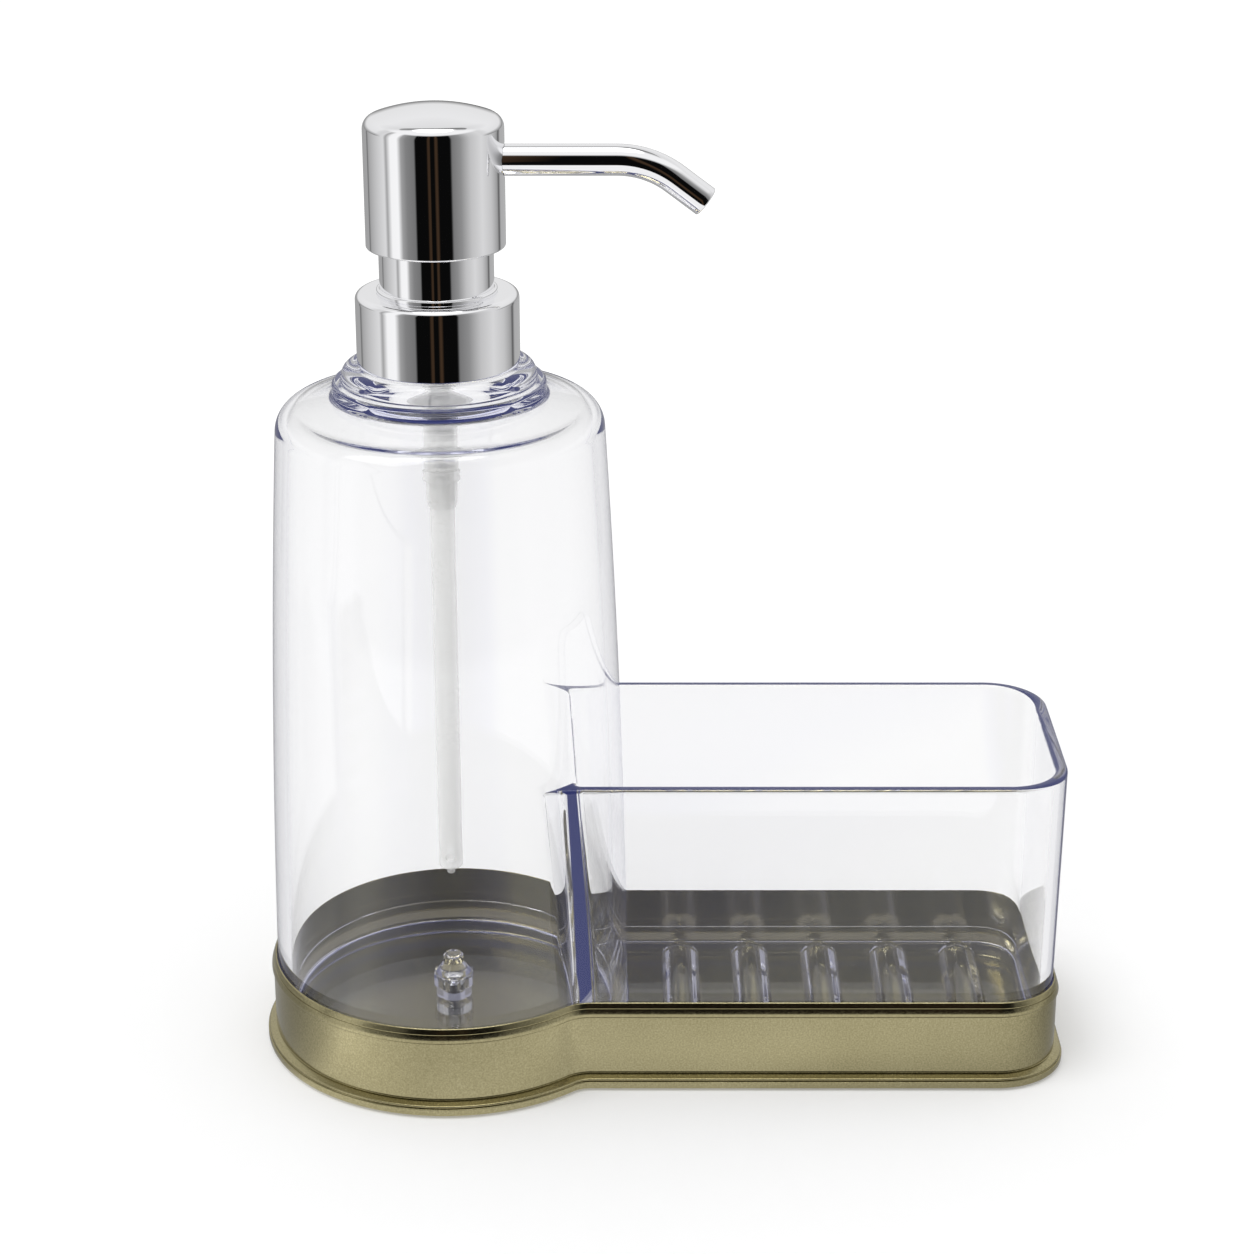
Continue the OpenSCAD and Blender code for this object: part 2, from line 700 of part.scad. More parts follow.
// Disc with a stepped edge, a fillet up the bottle's wall, and the boss that takes the screw
module reservoir_floor() color([0.80, 0.83, 0.90, 0.5]) {
    low = res_floor_z - res_floor_t;
    ring_z = res_floor_z + boss_h * boss_ring_share;
    cone_z = res_floor_z + boss_h * boss_cone_share;
    cap_z = res_floor_z + boss_h * boss_cap_share;
    top_z = res_floor_z + boss_h;
    difference() {
        union() {
            rotate_extrude($fn = turn_fn) polygon(concat(
                [[0, low], [res_rim_r, low], [res_rim_r, ledge_z - fit_gap],
                    [res_top_r, ledge_z - fit_gap], [res_top_r, res_floor_z + res_fillet]],
                arc([res_top_r - fillet_tip - res_fillet, res_floor_z + res_fillet],
                    res_fillet, 0, -90),
                [[0, res_floor_z]]
            ));
            bore(boss_foot_r, boss_base_z, ring_z);
            translate([0, 0, ring_z]) cylinder(r = boss_ring_r, h = cone_z - ring_z, $fn = boss_sides);
            translate([0, 0, cone_z])
                cylinder(r1 = boss_foot_r, r2 = boss_cap_r, h = cap_z - cone_z, $fn = turn_fn);
            bore(boss_cap_r, cap_z, top_z - boss_chamfer);
            translate([0, 0, top_z - boss_chamfer])
                cylinder(r1 = boss_cap_r, r2 = boss_cap_r - boss_chamfer, h = boss_chamfer, $fn = turn_fn);
        }
        bore(screw_hole_r, boss_base_z - overrun, screw_top_z + screw_len + screw_tip);
    }
}

module collar_shell() color([0.80, 0.80, 0.82]) {
    difference() {
        rotate_extrude($fn = turn_fn) polygon(concat(
            [[0, collar_z], [collar_r, collar_z]],
            arc([collar_r - collar_round, collar_top - collar_round], collar_round, 0, 90),
            [[0, collar_top]]
        ));
        bore(collar_r - collar_t, collar_z - overrun, liner_web_top);
        bore(collar_hole_r, liner_web_top - overrun, collar_top + overrun);
    }
}

module collar_liner() color([0.92, 0.92, 0.90]) {
    difference() {
        union() {
            bore(liner_out_r, collar_z, liner_web_top);
            bore(tower_r, liner_web_z, tower_top);
        }
        bore(liner_in_r, collar_z - overrun, liner_web_z);
        bore(liner_hole_r, liner_web_z - overrun, liner_web_top);
        bore(tower_r - tower_t, liner_web_top, tower_top + overrun);
    }
}

module sleeve() color([0.82, 0.82, 0.84]) {
    ring(sleeve_r, sleeve_in_r, liner_web_top, sleeve_top);
    ring(sleeve_r + sleeve_lip, sleeve_in_r, collar_top, collar_top + sleeve_lip_h);
}

module neck_gasket() color([0.90, 0.90, 0.92]) {
    ring(gasket_r, gasket_in_r, neck_top, housing_flange_z);
}

module pump_housing() color([0.90, 0.92, 0.95]) {
    difference() {
        union() {
            bore(gasket_r, housing_flange_z, housing_top);
            bore(cup_r, cup_low, housing_top);
            translate([0, 0, cone_low])
                cylinder(r1 = barrel_r, r2 = cup_r, h = cone_h, $fn = turn_fn);
            bore(barrel_r, barrel_low, cone_low);
            bore(low_barrel_r, housing_low, barrel_low);
        }
        bore(cup_bore_r, cup_low, housing_top + overrun);
        translate([0, 0, cone_low])
            cylinder(r1 = barrel_bore_r, r2 = cup_bore_r, h = cone_h, $fn = turn_fn);
        bore(barrel_bore_r, housing_low - overrun, cone_low);
    }
}

module stem_guide() color([0.88, 0.88, 0.90]) {
    difference() {
        union() {
            bore(cup_bore_r - fit_gap, guide_plug_z, housing_top);
            bore(guide_flange_r, housing_top, guide_top);
        }
        bore(guide_bore_r, guide_plug_z - overrun, guide_top + overrun);
    }
}

module inlet_seat() color([0.88, 0.90, 0.94]) {
    seat_body_z = seat_low + seat_chamfer;
    port_z = spigot_top - ball_seat_depth;
    difference() {
        union() {
            translate([0, 0, seat_low])
                cylinder(r1 = seat_chamfer_r, r2 = seat_r, h = seat_chamfer, $fn = turn_fn);
            bore(seat_r, seat_body_z, housing_low);
            bore(seat_flange_r, housing_low - seat_flange_t, housing_low);
            bore(barrel_bore_r - fit_gap, housing_low, spigot_top);
        }
        bore(dip_socket_r, seat_low - overrun, dip_top);
        bore(ball_port_r, dip_top - overrun, spigot_top);
        translate([0, 0, port_z])
            cylinder(r1 = ball_port_r, r2 = ball_seat_r, h = ball_seat_depth, $fn = turn_fn);
    }
}

module inlet_ball() color([0.70, 0.72, 0.75]) {
    translate([0, 0, inlet_ball_z]) sphere(r = ball_r, $fn = turn_fn);
}

module ball_cage() color([0.86, 0.88, 0.90]) {
    ring(barrel_bore_r - fit_gap, cage_bore_r, cage_z, cage_top);
}

module dip_tube() color([0.90, 0.92, 0.94]) {
    bung_top = dip_foot_z + dip_bung;
    difference() {
        union() {
            bore(dip_r, dip_foot_z, dip_top);
            bore(nib_r, dip_foot_z - nib_h, dip_foot_z);
        }
        bore(dip_bore_r, bung_top, dip_top + overrun);
        translate([0, 0, bung_top + 2 * dip_port_r]) rotate([90, 0, 0])
            translate([0, 0, -dip_r - overrun])
                cylinder(r = dip_port_r, h = 2 * (dip_r + overrun), $fn = turn_fn);
    }
}

module return_spring() color([0.60, 0.62, 0.65]) {
    rise = spring_pitch / (2 * PI * coil_r);
    tube([for (i = [0:len(spring_angles) - 1]) let (
            a = spring_angles[i],
            out = [cos(a), sin(a), 0],
            along = [-sin(a), cos(a), rise] / norm([1, rise]),
            up = cross(out, along)
        ) [for (k = [0:spring_sides - 1]) let (b = 360 * k / spring_sides)
            spring_line[i] + wire_r * (cos(b) * out + sin(b) * up)]]);
}

// Least gap between one turn of the spring and the next, measured between points of its line
spring_gap = min([for (i = [0:len(spring_line) - 1], j = [i + spring_rings / 2:len(spring_line) - 1])
    norm(spring_line[i] - spring_line[j])]) - 2 * wire_r;
echo(spring_gap = spring_gap);

module stem() color([0.92, 0.93, 0.95]) {
    difference() {
        union() {
            bore(stem_r, stem_z, stem_top);
            bore(nose_r, stem_z - nose_h, stem_z);
        }
        bore(stem_bore_r, stem_z - nose_h - overrun, chamber_port_z);
        translate([0, 0, chamber_port_z])
            cylinder(r1 = stem_bore_r, r2 = chamber_r, h = chamber_seat_depth, $fn = turn_fn);
        bore(chamber_r, chamber_port_z + chamber_seat_depth, stem_top + overrun);
    }
}

module piston() color([0.30, 0.32, 0.35]) {
    waist_r = piston_r - piston_waist;
    waist_z = piston_z + piston_lip_h;
    waist_top = piston_z + piston_h - piston_lip_h;
    rotate_extrude($fn = turn_fn) polygon([
        [stem_r + fit_gap, piston_z], [piston_r, piston_z], [waist_r, waist_z],
        [waist_r, waist_top], [piston_r, piston_z + piston_h], [stem_r + fit_gap, piston_z + piston_h]
    ]);
}

module outlet_ball() color([0.70, 0.72, 0.75]) {
    translate([0, 0, outlet_ball_z]) sphere(r = outlet_ball_r, $fn = turn_fn);
}

// Solid of the head's domed outside, drawn in by an inset and lengthened below
module head_solid(inset, below) {
    rotate_extrude($fn = turn_fn) polygon(concat(
        [[0, head_z - below], [head_r - inset, head_z - below]],
        arc(head_round_centre, head_round - inset, 0, head_round_angle),
        arc(dome_centre, dome_r - inset, head_round_angle, 90)
    ));
}

module head_shell() color([0.80, 0.80, 0.82]) {
    difference() {
        head_solid(0, 0);
        head_solid(head_t, overrun);
        translate([0, 0, spout_z]) rotate([0, 90, 0]) bore(spout_port_r, 0, head_r + overrun);
    }
}

module actuator() color([0.93, 0.93, 0.92]) {
    difference() {
        union() {
            ring(actuator_r, actuator_r - actuator_rim_t, plate_z, actuator_top);
            bore(actuator_r, plate_z, plate_z + plate_t);
            bore(hub_r, hub_z, hub_top);
            translate([0, 0, spout_z]) rotate([0, 90, 0]) bore(port_boss_r, 0, port_boss_x);
        }
        bore(stem_r + fit_gap, hub_z - overrun, stem_top + fit_gap);
        bore(channel_r, stem_top, spout_z);
        translate([0, 0, spout_z]) rotate([0, 90, 0]) {
            bore(channel_r, 0, spout_root_x + overrun);
            bore(spout_port_r, spout_root_x, head_r + overrun);
        }
    }
}

// Places along the spout's line, each with the angle of its slope
function spout_line(root_x, tip_gap) = concat(
    [[[root_x, 0, spout_z], 0]],
    [for (i = [0:bend_steps]) let (a = spout_bend * i / bend_steps)
        [[spout_straight + spout_bend_r * sin(a), 0, spout_z - spout_bend_r * (1 - cos(a))], a]],
    [[bend_end + (spout_end - tip_gap) * [cos(spout_bend), 0, -sin(spout_bend)], spout_bend]]
);

// Round bar along the spout's line
module spout_bar(r, root_x, tip_gap) {
    tube([for (p = spout_line(root_x, tip_gap)) [for (k = [0:spout_sides - 1]) let (
            b = 360 * k / spout_sides
        ) p[0] + r * [cos(b) * sin(p[1]), sin(b), cos(b) * cos(p[1])]]]);
}

module spout() color([0.80, 0.80, 0.82]) {
    difference() {
        spout_bar(spout_r, spout_root_x, 0);
        spout_bar(spout_in_r, spout_root_x - overrun, -overrun);
    }
}

module spout_liner() color([0.93, 0.93, 0.92]) {
    difference() {
        spout_bar(liner_r, spout_root_x, liner_recess);
        spout_bar(liner_bore_r, spout_root_x - overrun, -overrun);
    }
}

clear_body();
reservoir_floor();
base_tray();
base_screw();
screw_washer();
grip_pad();
collar_shell();
collar_liner();
sleeve();
neck_gasket();
pump_housing();
stem_guide();
inlet_seat();
ball_cage();
dip_tube();
return_spring();
inlet_ball();
stem();
piston();
outlet_ball();
head_shell();
actuator();
spout();
spout_liner();
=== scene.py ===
# Soap pump caddy: a clear box with ridges and a round clear bottle in one moulding,
# standing in a bronze tray, with a chrome lotion pump. Sizes are in millimetres until
# a mesh is finished, then it is brought to metres.
import math

import bmesh
import bpy
from mathutils import Matrix, Vector


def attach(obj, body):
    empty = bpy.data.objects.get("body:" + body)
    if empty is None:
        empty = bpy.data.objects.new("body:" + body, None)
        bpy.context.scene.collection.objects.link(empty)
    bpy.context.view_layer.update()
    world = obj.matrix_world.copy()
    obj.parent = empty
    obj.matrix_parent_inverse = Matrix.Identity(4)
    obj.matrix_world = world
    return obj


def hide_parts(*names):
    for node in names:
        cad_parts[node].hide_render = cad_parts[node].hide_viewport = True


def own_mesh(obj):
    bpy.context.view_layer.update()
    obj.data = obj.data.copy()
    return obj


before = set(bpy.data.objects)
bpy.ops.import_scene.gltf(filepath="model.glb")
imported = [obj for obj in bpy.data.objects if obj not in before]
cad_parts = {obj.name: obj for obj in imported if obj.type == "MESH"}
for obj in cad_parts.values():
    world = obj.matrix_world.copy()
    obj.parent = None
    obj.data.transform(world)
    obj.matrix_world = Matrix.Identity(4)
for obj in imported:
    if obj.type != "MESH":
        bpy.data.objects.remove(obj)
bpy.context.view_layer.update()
print("frame loaded:", len(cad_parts), "nodes")

# Helpers for profiles and meshes
poleRadius = 1e-6  # a point of a profile nearer the axis than this is a pole
mergeGap = 1e-4
# where extra points hold the long straight parts: lengths and gaps in mm, the bend in radians
hold = {"longStep": 1.2, "stepGap": 0.1, "bend": 0.07, "longSide": 8, "sideGap": 0.3}


def arcPoints(centre, radius, start, end, steps):
    turns = [math.radians(start + (end - start) * i / steps) for i in range(steps + 1)]
    return [(centre[0] + radius * math.cos(t), centre[1] + radius * math.sin(t)) for t in turns]


def topRound(x, z, radius, steps):
    # the round of an outer corner that would lie at (x, z), over its top
    return arcPoints((x - radius, z - radius), radius, 0, 90, steps)


def footRound(x, z, radius, steps):
    # the same under its foot
    return arcPoints((x - radius, z + radius), radius, -90, 0, steps)


def mirrorLoop(half):
    return half + [(x, -y) for x, y in reversed(half)]


def meshFrom(name, points, faces):
    mesh = bpy.data.meshes.new(name)
    mesh.from_pydata([tuple(p) for p in points], [], faces)
    mesh.validate()
    piece = bpy.data.objects.new(name, mesh)
    bpy.context.scene.collection.objects.link(piece)
    return piece


def tidyMesh(piece, gap=mergeGap):
    form = bmesh.new()
    form.from_mesh(piece.data)
    bmesh.ops.remove_doubles(form, verts=form.verts, dist=gap)
    bmesh.ops.dissolve_degenerate(form, edges=form.edges, dist=gap)
    bmesh.ops.recalc_face_normals(form, faces=form.faces)
    form.to_mesh(piece.data)
    form.free()
    return piece


def closeIn(a, b, gap):
    # the two places on the line from a to b that lie a gap from its ends
    share = gap / math.dist(a, b)
    return [tuple(p + (q - p) * s for p, q in zip(a, b)) for s in (share, 1 - share)]


def bendAt(before, corner, after):
    turn = math.atan2(after[1] - corner[1], after[0] - corner[0])
    return abs(math.remainder(turn - math.atan2(corner[1] - before[1], corner[0] - before[0]), 2 * math.pi))


def heldProfile(profile):
    # holds the straight parts straight beside their bends, so that shading stays true
    closed, held = profile[0][0] > poleRadius, []
    for i, (a, b) in enumerate(zip(profile, profile[1:] + profile[:1])):
        held.append(a)
        straight = math.dist(a, b) > hold["longStep"] and min(a[0], b[0]) > poleRadius
        if straight and (closed or i < len(profile) - 1):
            bends = bendAt(profile[i - 1], a, b), bendAt(a, b, profile[(i + 2) % len(profile)])
            held += [p for p, bend in zip(closeIn(a, b, hold["stepGap"]), bends) if bend > hold["bend"]]
    return held


def heldLoops(loops, closed):
    # the same for loops: beside their long sides, and beside long steps from loop to loop
    first, wider, held = loops[0], [], []
    longSides = [k for k, p in enumerate(first)
                 if math.dist(p, first[(k + 1) % len(first)]) > hold["longSide"]]
    for loop in loops:
        points = []
        for k, p in enumerate(loop):
            points.append(p)
            if k in longSides:
                points += closeIn(p, loop[(k + 1) % len(loop)], hold["sideGap"])
        wider.append(points)
    for i, (low, high) in enumerate(zip(wider, wider[1:] + wider[:1])):
        held.append(low)
        if (closed or i < len(wider) - 1) and math.dist(low[0], high[0]) > hold["longStep"]:
            pairs = [closeIn(p, q, hold["stepGap"]) for p, q in zip(low, high)]
            held += [[p for p, _ in pairs], [q for _, q in pairs]]
    return held


def latheMesh(name, profile, segments=144, shift=0.0):
    # profile: closed or pole-to-pole list of (radius, height)
    profile = heldProfile(profile)
    points, rings = [], []
    for r, z in profile:
        if r < poleRadius:
            rings.append([len(points)])
            points.append((0, 0, z))
        else:
            rings.append(list(range(len(points), len(points) + segments)))
            for k in range(segments):
                a = 2 * math.pi * (k + shift) / segments
                points.append((r * math.cos(a), r * math.sin(a), z))
    closed = profile[0][0] > poleRadius
    faces = []
    for low, high in list(zip(rings, rings[1:])) + ([(rings[-1], rings[0])] if closed else []):
        if len(low) == len(high) == 1:
            continue
        for k in range(segments):
            n = (k + 1) % segments
            if len(low) == 1:
                faces.append((low[0], high[n], high[k]))
            elif len(high) == 1:
                faces.append((low[k], low[n], high[0]))
            else:
                faces.append((low[k], low[n], high[n], high[k]))
    return tidyMesh(meshFrom(name, points, faces))


def rodMesh(name, radius, low, high, segments):
    return latheMesh(name, [(0, low), (radius, low), (radius, high), (0, high)], segments)


def loftMesh(name, loops, closed=False):
    # loops: equal counts of (x, y, z), capped at both ends unless they close in a ring
    loops = heldLoops(loops, closed)
    count = len(loops[0])
    faces = []
    for i in range(len(loops) if closed else len(loops) - 1):
        a, b = i * count, ((i + 1) % len(loops)) * count
        for k in range(count):
            n = (k + 1) % count
            faces.append((a + k, a + n, b + n, b + k))
    if not closed:
        faces.append(tuple(reversed(range(count))))
        faces.append(tuple(range((len(loops) - 1) * count, len(loops) * count)))
    return tidyMesh(meshFrom(name, [p for loop in loops for p in loop], faces))


def keepResult(piece, modifier):
    # makes what the modifier gives the piece's own mesh
    bpy.context.view_layer.update()
    seen = piece.evaluated_get(bpy.context.evaluated_depsgraph_get())
    made = bpy.data.meshes.new_from_object(seen)
    piece.modifiers.remove(modifier)
    old, piece.data = piece.data, made
    bpy.data.meshes.remove(old)
    return piece


def combine(piece, tool, how):
    cut = piece.modifiers.new("cut", "BOOLEAN")
    cut.operation, cut.solver, cut.object = how, "EXACT", tool
    keepResult(piece, cut)
    spare = tool.data
    bpy.data.objects.remove(tool)
    bpy.data.meshes.remove(spare)
    return piece


def finishPiece(piece, material, body, nodes, sharp=32):
    piece.data.transform(Matrix.Scale(0.001, 4))
    piece.data.materials.clear()
    piece.data.materials.append(material)
    piece.data.polygons.foreach_set("material_index", [0] * len(piece.data.polygons))
    piece.data.shade_smooth()
    piece.data.set_sharp_from_angle(angle=math.radians(sharp))
    piece.data.update()
    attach(piece, body)
    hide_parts(*nodes)
    return piece


# Helpers for node trees
def addNode(tree, kind, inputs=None, **settings):
    # inputs: plain values, sockets to join to, or other nodes, which stand for their first sockets
    node = tree.nodes.new(kind)
    for key, value in settings.items():
        setattr(node, key, value)
    for key, value in (inputs or {}).items():
        if isinstance(value, bpy.types.Node):
            value = value.outputs[0]
        if isinstance(value, bpy.types.NodeSocket):
            tree.links.new(value, node.inputs[key])
        else:
            node.inputs[key].default_value = value
    return node


def mathNode(tree, how, *values, clamp=False):
    return addNode(tree, "ShaderNodeMath", dict(enumerate(values)), operation=how, use_clamp=clamp).outputs[0]


def rangeNode(tree, value, low, high, top=1.0):
    inputs = {"Value": value, "From Min": low, "From Max": high, "To Max": top}
    return addNode(tree, "ShaderNodeMapRange", inputs).outputs["Result"]


def rampNode(tree, value, stops):
    node = addNode(tree, "ShaderNodeValToRGB", {"Fac": value})
    elements = node.color_ramp.elements
    while len(elements) > 1:
        elements.remove(elements[-1])
    for i, (at, colour) in enumerate(stops):
        spot = elements[0] if i == 0 else elements.new(at)
        spot.position = at
        spot.color = colour if len(colour) == 4 else (*colour, 1)
    return node.outputs["Color"]


def mixColour(tree, share, low, high):
    return addNode(tree, "ShaderNodeMix", {"Factor": share, 6: low, 7: high}, data_type="RGBA").outputs[2]


def srgb(r, g, b):
    def part(v):
        v = v / 255
        return v / 12.92 if v <= 0.04045 else ((v + 0.055) / 1.055) ** 2.4

    return (part(r), part(g), part(b), 1)


# Materials
def grainGroup():
    # uneven surface: two sizes of noise, put out as a value for colour, roughness and bump
    group = bpy.data.node_groups.new("surfaceGrain", "ShaderNodeTree")
    face = group.interface
    for label, value in (("Large Scale", 60.0), ("Fine Scale", 900.0), ("Fine Share", 0.5),
                         ("Low", 0.0), ("High", 1.0)):
        socket = face.new_socket(name=label, in_out="INPUT", socket_type="NodeSocketFloat")
        socket.default_value = value
    face.new_socket(name="Vector", in_out="INPUT", socket_type="NodeSocketVector")
    face.new_socket(name="Grain", in_out="OUTPUT", socket_type="NodeSocketFloat")
    face.new_socket(name="Value", in_out="OUTPUT", socket_type="NodeSocketFloat")
    given = group.nodes.new("NodeGroupInput").outputs
    large, fine = [addNode(group, "ShaderNodeTexNoise", {
        "Vector": given["Vector"], "Scale": given[label], "Detail": detail})
        for label, detail in (("Large Scale", 3), ("Fine Scale", 2))]
    grain = addNode(group, "ShaderNodeMix", {"Factor": given["Fine Share"], 2: large, 3: fine},
                    data_type="FLOAT")
    spread = addNode(group, "ShaderNodeMapRange", {
        "Value": grain, "From Min": 0.3, "From Max": 0.7, "To Min": given["Low"], "To Max": given["High"]})
    addNode(group, "NodeGroupOutput", {"Grain": grain, "Value": spread})
    return group


surfaceGrain = grainGroup()


def newMaterial(name, settings, grain, bump):
    # settings: the shader's own sockets; grain: the sizes and shares of the uneven surface,
    # with its roughness from Low to High; bump: its strength and depth
    material = bpy.data.materials.new(name)
    material.use_nodes = True
    tree = material.node_tree
    shader = tree.nodes["Principled BSDF"]
    for key, value in settings.items():
        shader.inputs[key].default_value = value
    place = addNode(tree, "ShaderNodeTexCoord").outputs["Object"]
    surface = addNode(tree, "ShaderNodeGroup", {**grain, "Vector": place}, node_tree=surfaceGrain)
    tree.links.new(surface.outputs["Value"], shader.inputs["Roughness"])
    height = {"Strength": bump[0], "Distance": bump[1], "Height": surface.outputs["Grain"]}
    tree.links.new(addNode(tree, "ShaderNodeBump", height).outputs["Normal"], shader.inputs["Normal"])
    return material, tree, shader, surface.outputs["Grain"], place


# the plastic's painted glow: its violet colour, the grey one below lowZ, and the bounce count from which it
# shows
clearLook = {"ior": 1.49, "shadowAlpha": 0.03, "absorb": (0.74, 0.75, 0.91, 1), "density": 6.0,
             "paintedGlow": (0.018, 0.022, 0.075, 1), "paintedGlowDepth": 3.5, "paintedGlowLow": (0.17, 0.17, 0.20, 1),
             "lowZ": 0.0125}


def clearPlastic():
    look = clearLook
    material, tree, shader, _, place = newMaterial(
        "clearPlastic",
        {"Base Color": (1.0, 1.0, 1.0, 1), "Transmission Weight": 1.0, "IOR": look["ior"], "Roughness": 0.0},
        {"Large Scale": 45.0, "Fine Scale": 420.0, "Fine Share": 0.3, "Low": 0.0, "High": 0.012},
        (0.012, 0.0003))
    path = addNode(tree, "ShaderNodeLightPath").outputs
    # light passes on to the floor behind, as it does through real plastic
    shade = mathNode(tree, "MULTIPLY", path["Is Shadow Ray"], 1 - look["shadowAlpha"])
    tree.links.new(mathNode(tree, "SUBTRACT", 1.0, shade), shader.inputs["Alpha"])
    # painted glow: where a ray has bounced many times inside, the plastic itself glows a dim violet, and grey
    # at the floor and its ridges, in place of light held inside it
    height = addNode(tree, "ShaderNodeSeparateXYZ", {0: place}).outputs[2]
    upper = mathNode(tree, "GREATER_THAN", height, look["lowZ"])
    tree.links.new(mixColour(tree, upper, look["paintedGlowLow"], look["paintedGlow"]),
                   shader.inputs["Emission Color"])
    paintedGlowOn = mathNode(tree, "GREATER_THAN", path["Glossy Depth"], look["paintedGlowDepth"])
    tree.links.new(paintedGlowOn, shader.inputs["Emission Strength"])
    material.cycles.emission_sampling = "NONE"
    inside = addNode(tree, "ShaderNodeVolumeAbsorption", {
        "Color": look["absorb"], "Density": look["density"]})
    tree.links.new(inside.outputs["Volume"], tree.nodes["Material Output"].inputs["Volume"])
    return material


def bronzeMetal():
    material, tree, shader, grain, _ = newMaterial(
        "bronzeFinish", {"Metallic": 1.0, "Roughness": 0.3},
        {"Large Scale": 40.0, "Fine Scale": 2600.0, "Fine Share": 0.75, "Low": 0.13, "High": 0.23},
        (0.07, 0.00003))
    tones = [(0.30, srgb(146, 138, 104)), (0.5, srgb(162, 154, 118)), (0.72, srgb(178, 170, 135))]
    tree.links.new(rampNode(tree, grain, tones), shader.inputs["Base Color"])
    return material


def chromePlate(name, colour):
    return newMaterial(
        name, {"Metallic": 1.0, "Base Color": colour, "Roughness": 0.04},
        {"Large Scale": 30.0, "Fine Scale": 500.0, "Fine Share": 0.4, "Low": 0.0, "High": 0.02},
        (0.003, 0.0001))[0]


def mouldedPlastic(name, low, high, rough, cover=1.0, under=0.0):
    # cover is how much it hides what lies behind, under is the light that spreads in it
    material, tree, shader, grain, _ = newMaterial(
        name,
        {"Roughness": rough, "IOR": 1.49, "Alpha": cover, "Subsurface Weight": under,
         "Subsurface Radius": (1.0, 0.9, 0.8), "Subsurface Scale": 0.002},
        {"Large Scale": 90.0, "Fine Scale": 1400.0, "Fine Share": 0.5,
         "Low": rough * 0.8, "High": rough * 1.25}, (0.08, 0.00005))
    tree.links.new(rampNode(tree, grain, [(0.3, low), (0.7, high)]), shader.inputs["Base Color"])
    return material


clear = clearPlastic()
bronze = bronzeMetal()
chrome = chromePlate("chromePlate", (0.93, 0.93, 0.945, 1))
frosted = mouldedPlastic("frostedPlastic", srgb(236, 236, 234), srgb(244, 244, 242), 0.30, cover=0.33)
white = mouldedPlastic("whitePlastic", srgb(226, 226, 222), srgb(238, 238, 234), 0.32, under=0.15)
sealGrey = mouldedPlastic("sealPlastic", srgb(196, 198, 200), srgb(210, 211, 212), 0.5)
padDark = mouldedPlastic("gripRubber", srgb(40, 40, 42), srgb(58, 58, 60), 0.75)
steel = chromePlate("springSteel", (0.56, 0.57, 0.6, 1))
print("materials made")


# Geometry Nodes
def newTree(name, inputs):
    tree = bpy.data.node_groups.new(name, "GeometryNodeTree")
    kinds = {int: "NodeSocketInt", float: "NodeSocketFloat"}
    for label, value in inputs.items():
        socket = tree.interface.new_socket(name=label, in_out="INPUT", socket_type=kinds[type(value)])
        socket.default_value = value
    tree.interface.new_socket(name="Material", in_out="INPUT", socket_type="NodeSocketMaterial")
    tree.interface.new_socket(name="Geometry", in_out="OUTPUT", socket_type="NodeSocketGeometry")
    return tree, tree.nodes.new("NodeGroupInput").outputs


def endTree(tree, geometry, material):
    real = addNode(tree, "GeometryNodeRealizeInstances", {"Geometry": geometry})
    dress = addNode(tree, "GeometryNodeSetMaterial", {"Geometry": real, "Material": material})
    addNode(tree, "NodeGroupOutput", {0: dress})
    return tree


def meshFromTree(name, tree, values):
    holder = meshFrom(name, [], [])
    live = holder.modifiers.new("nodes", "NODES")
    live.node_group = tree
    sockets = {i.name: i.identifier for i in tree.interface.items_tree if i.in_out == "INPUT"}
    for key, value in values.items():
        live[sockets[key]] = value
    keepResult(holder, live).data.name = name
    return tidyMesh(holder)


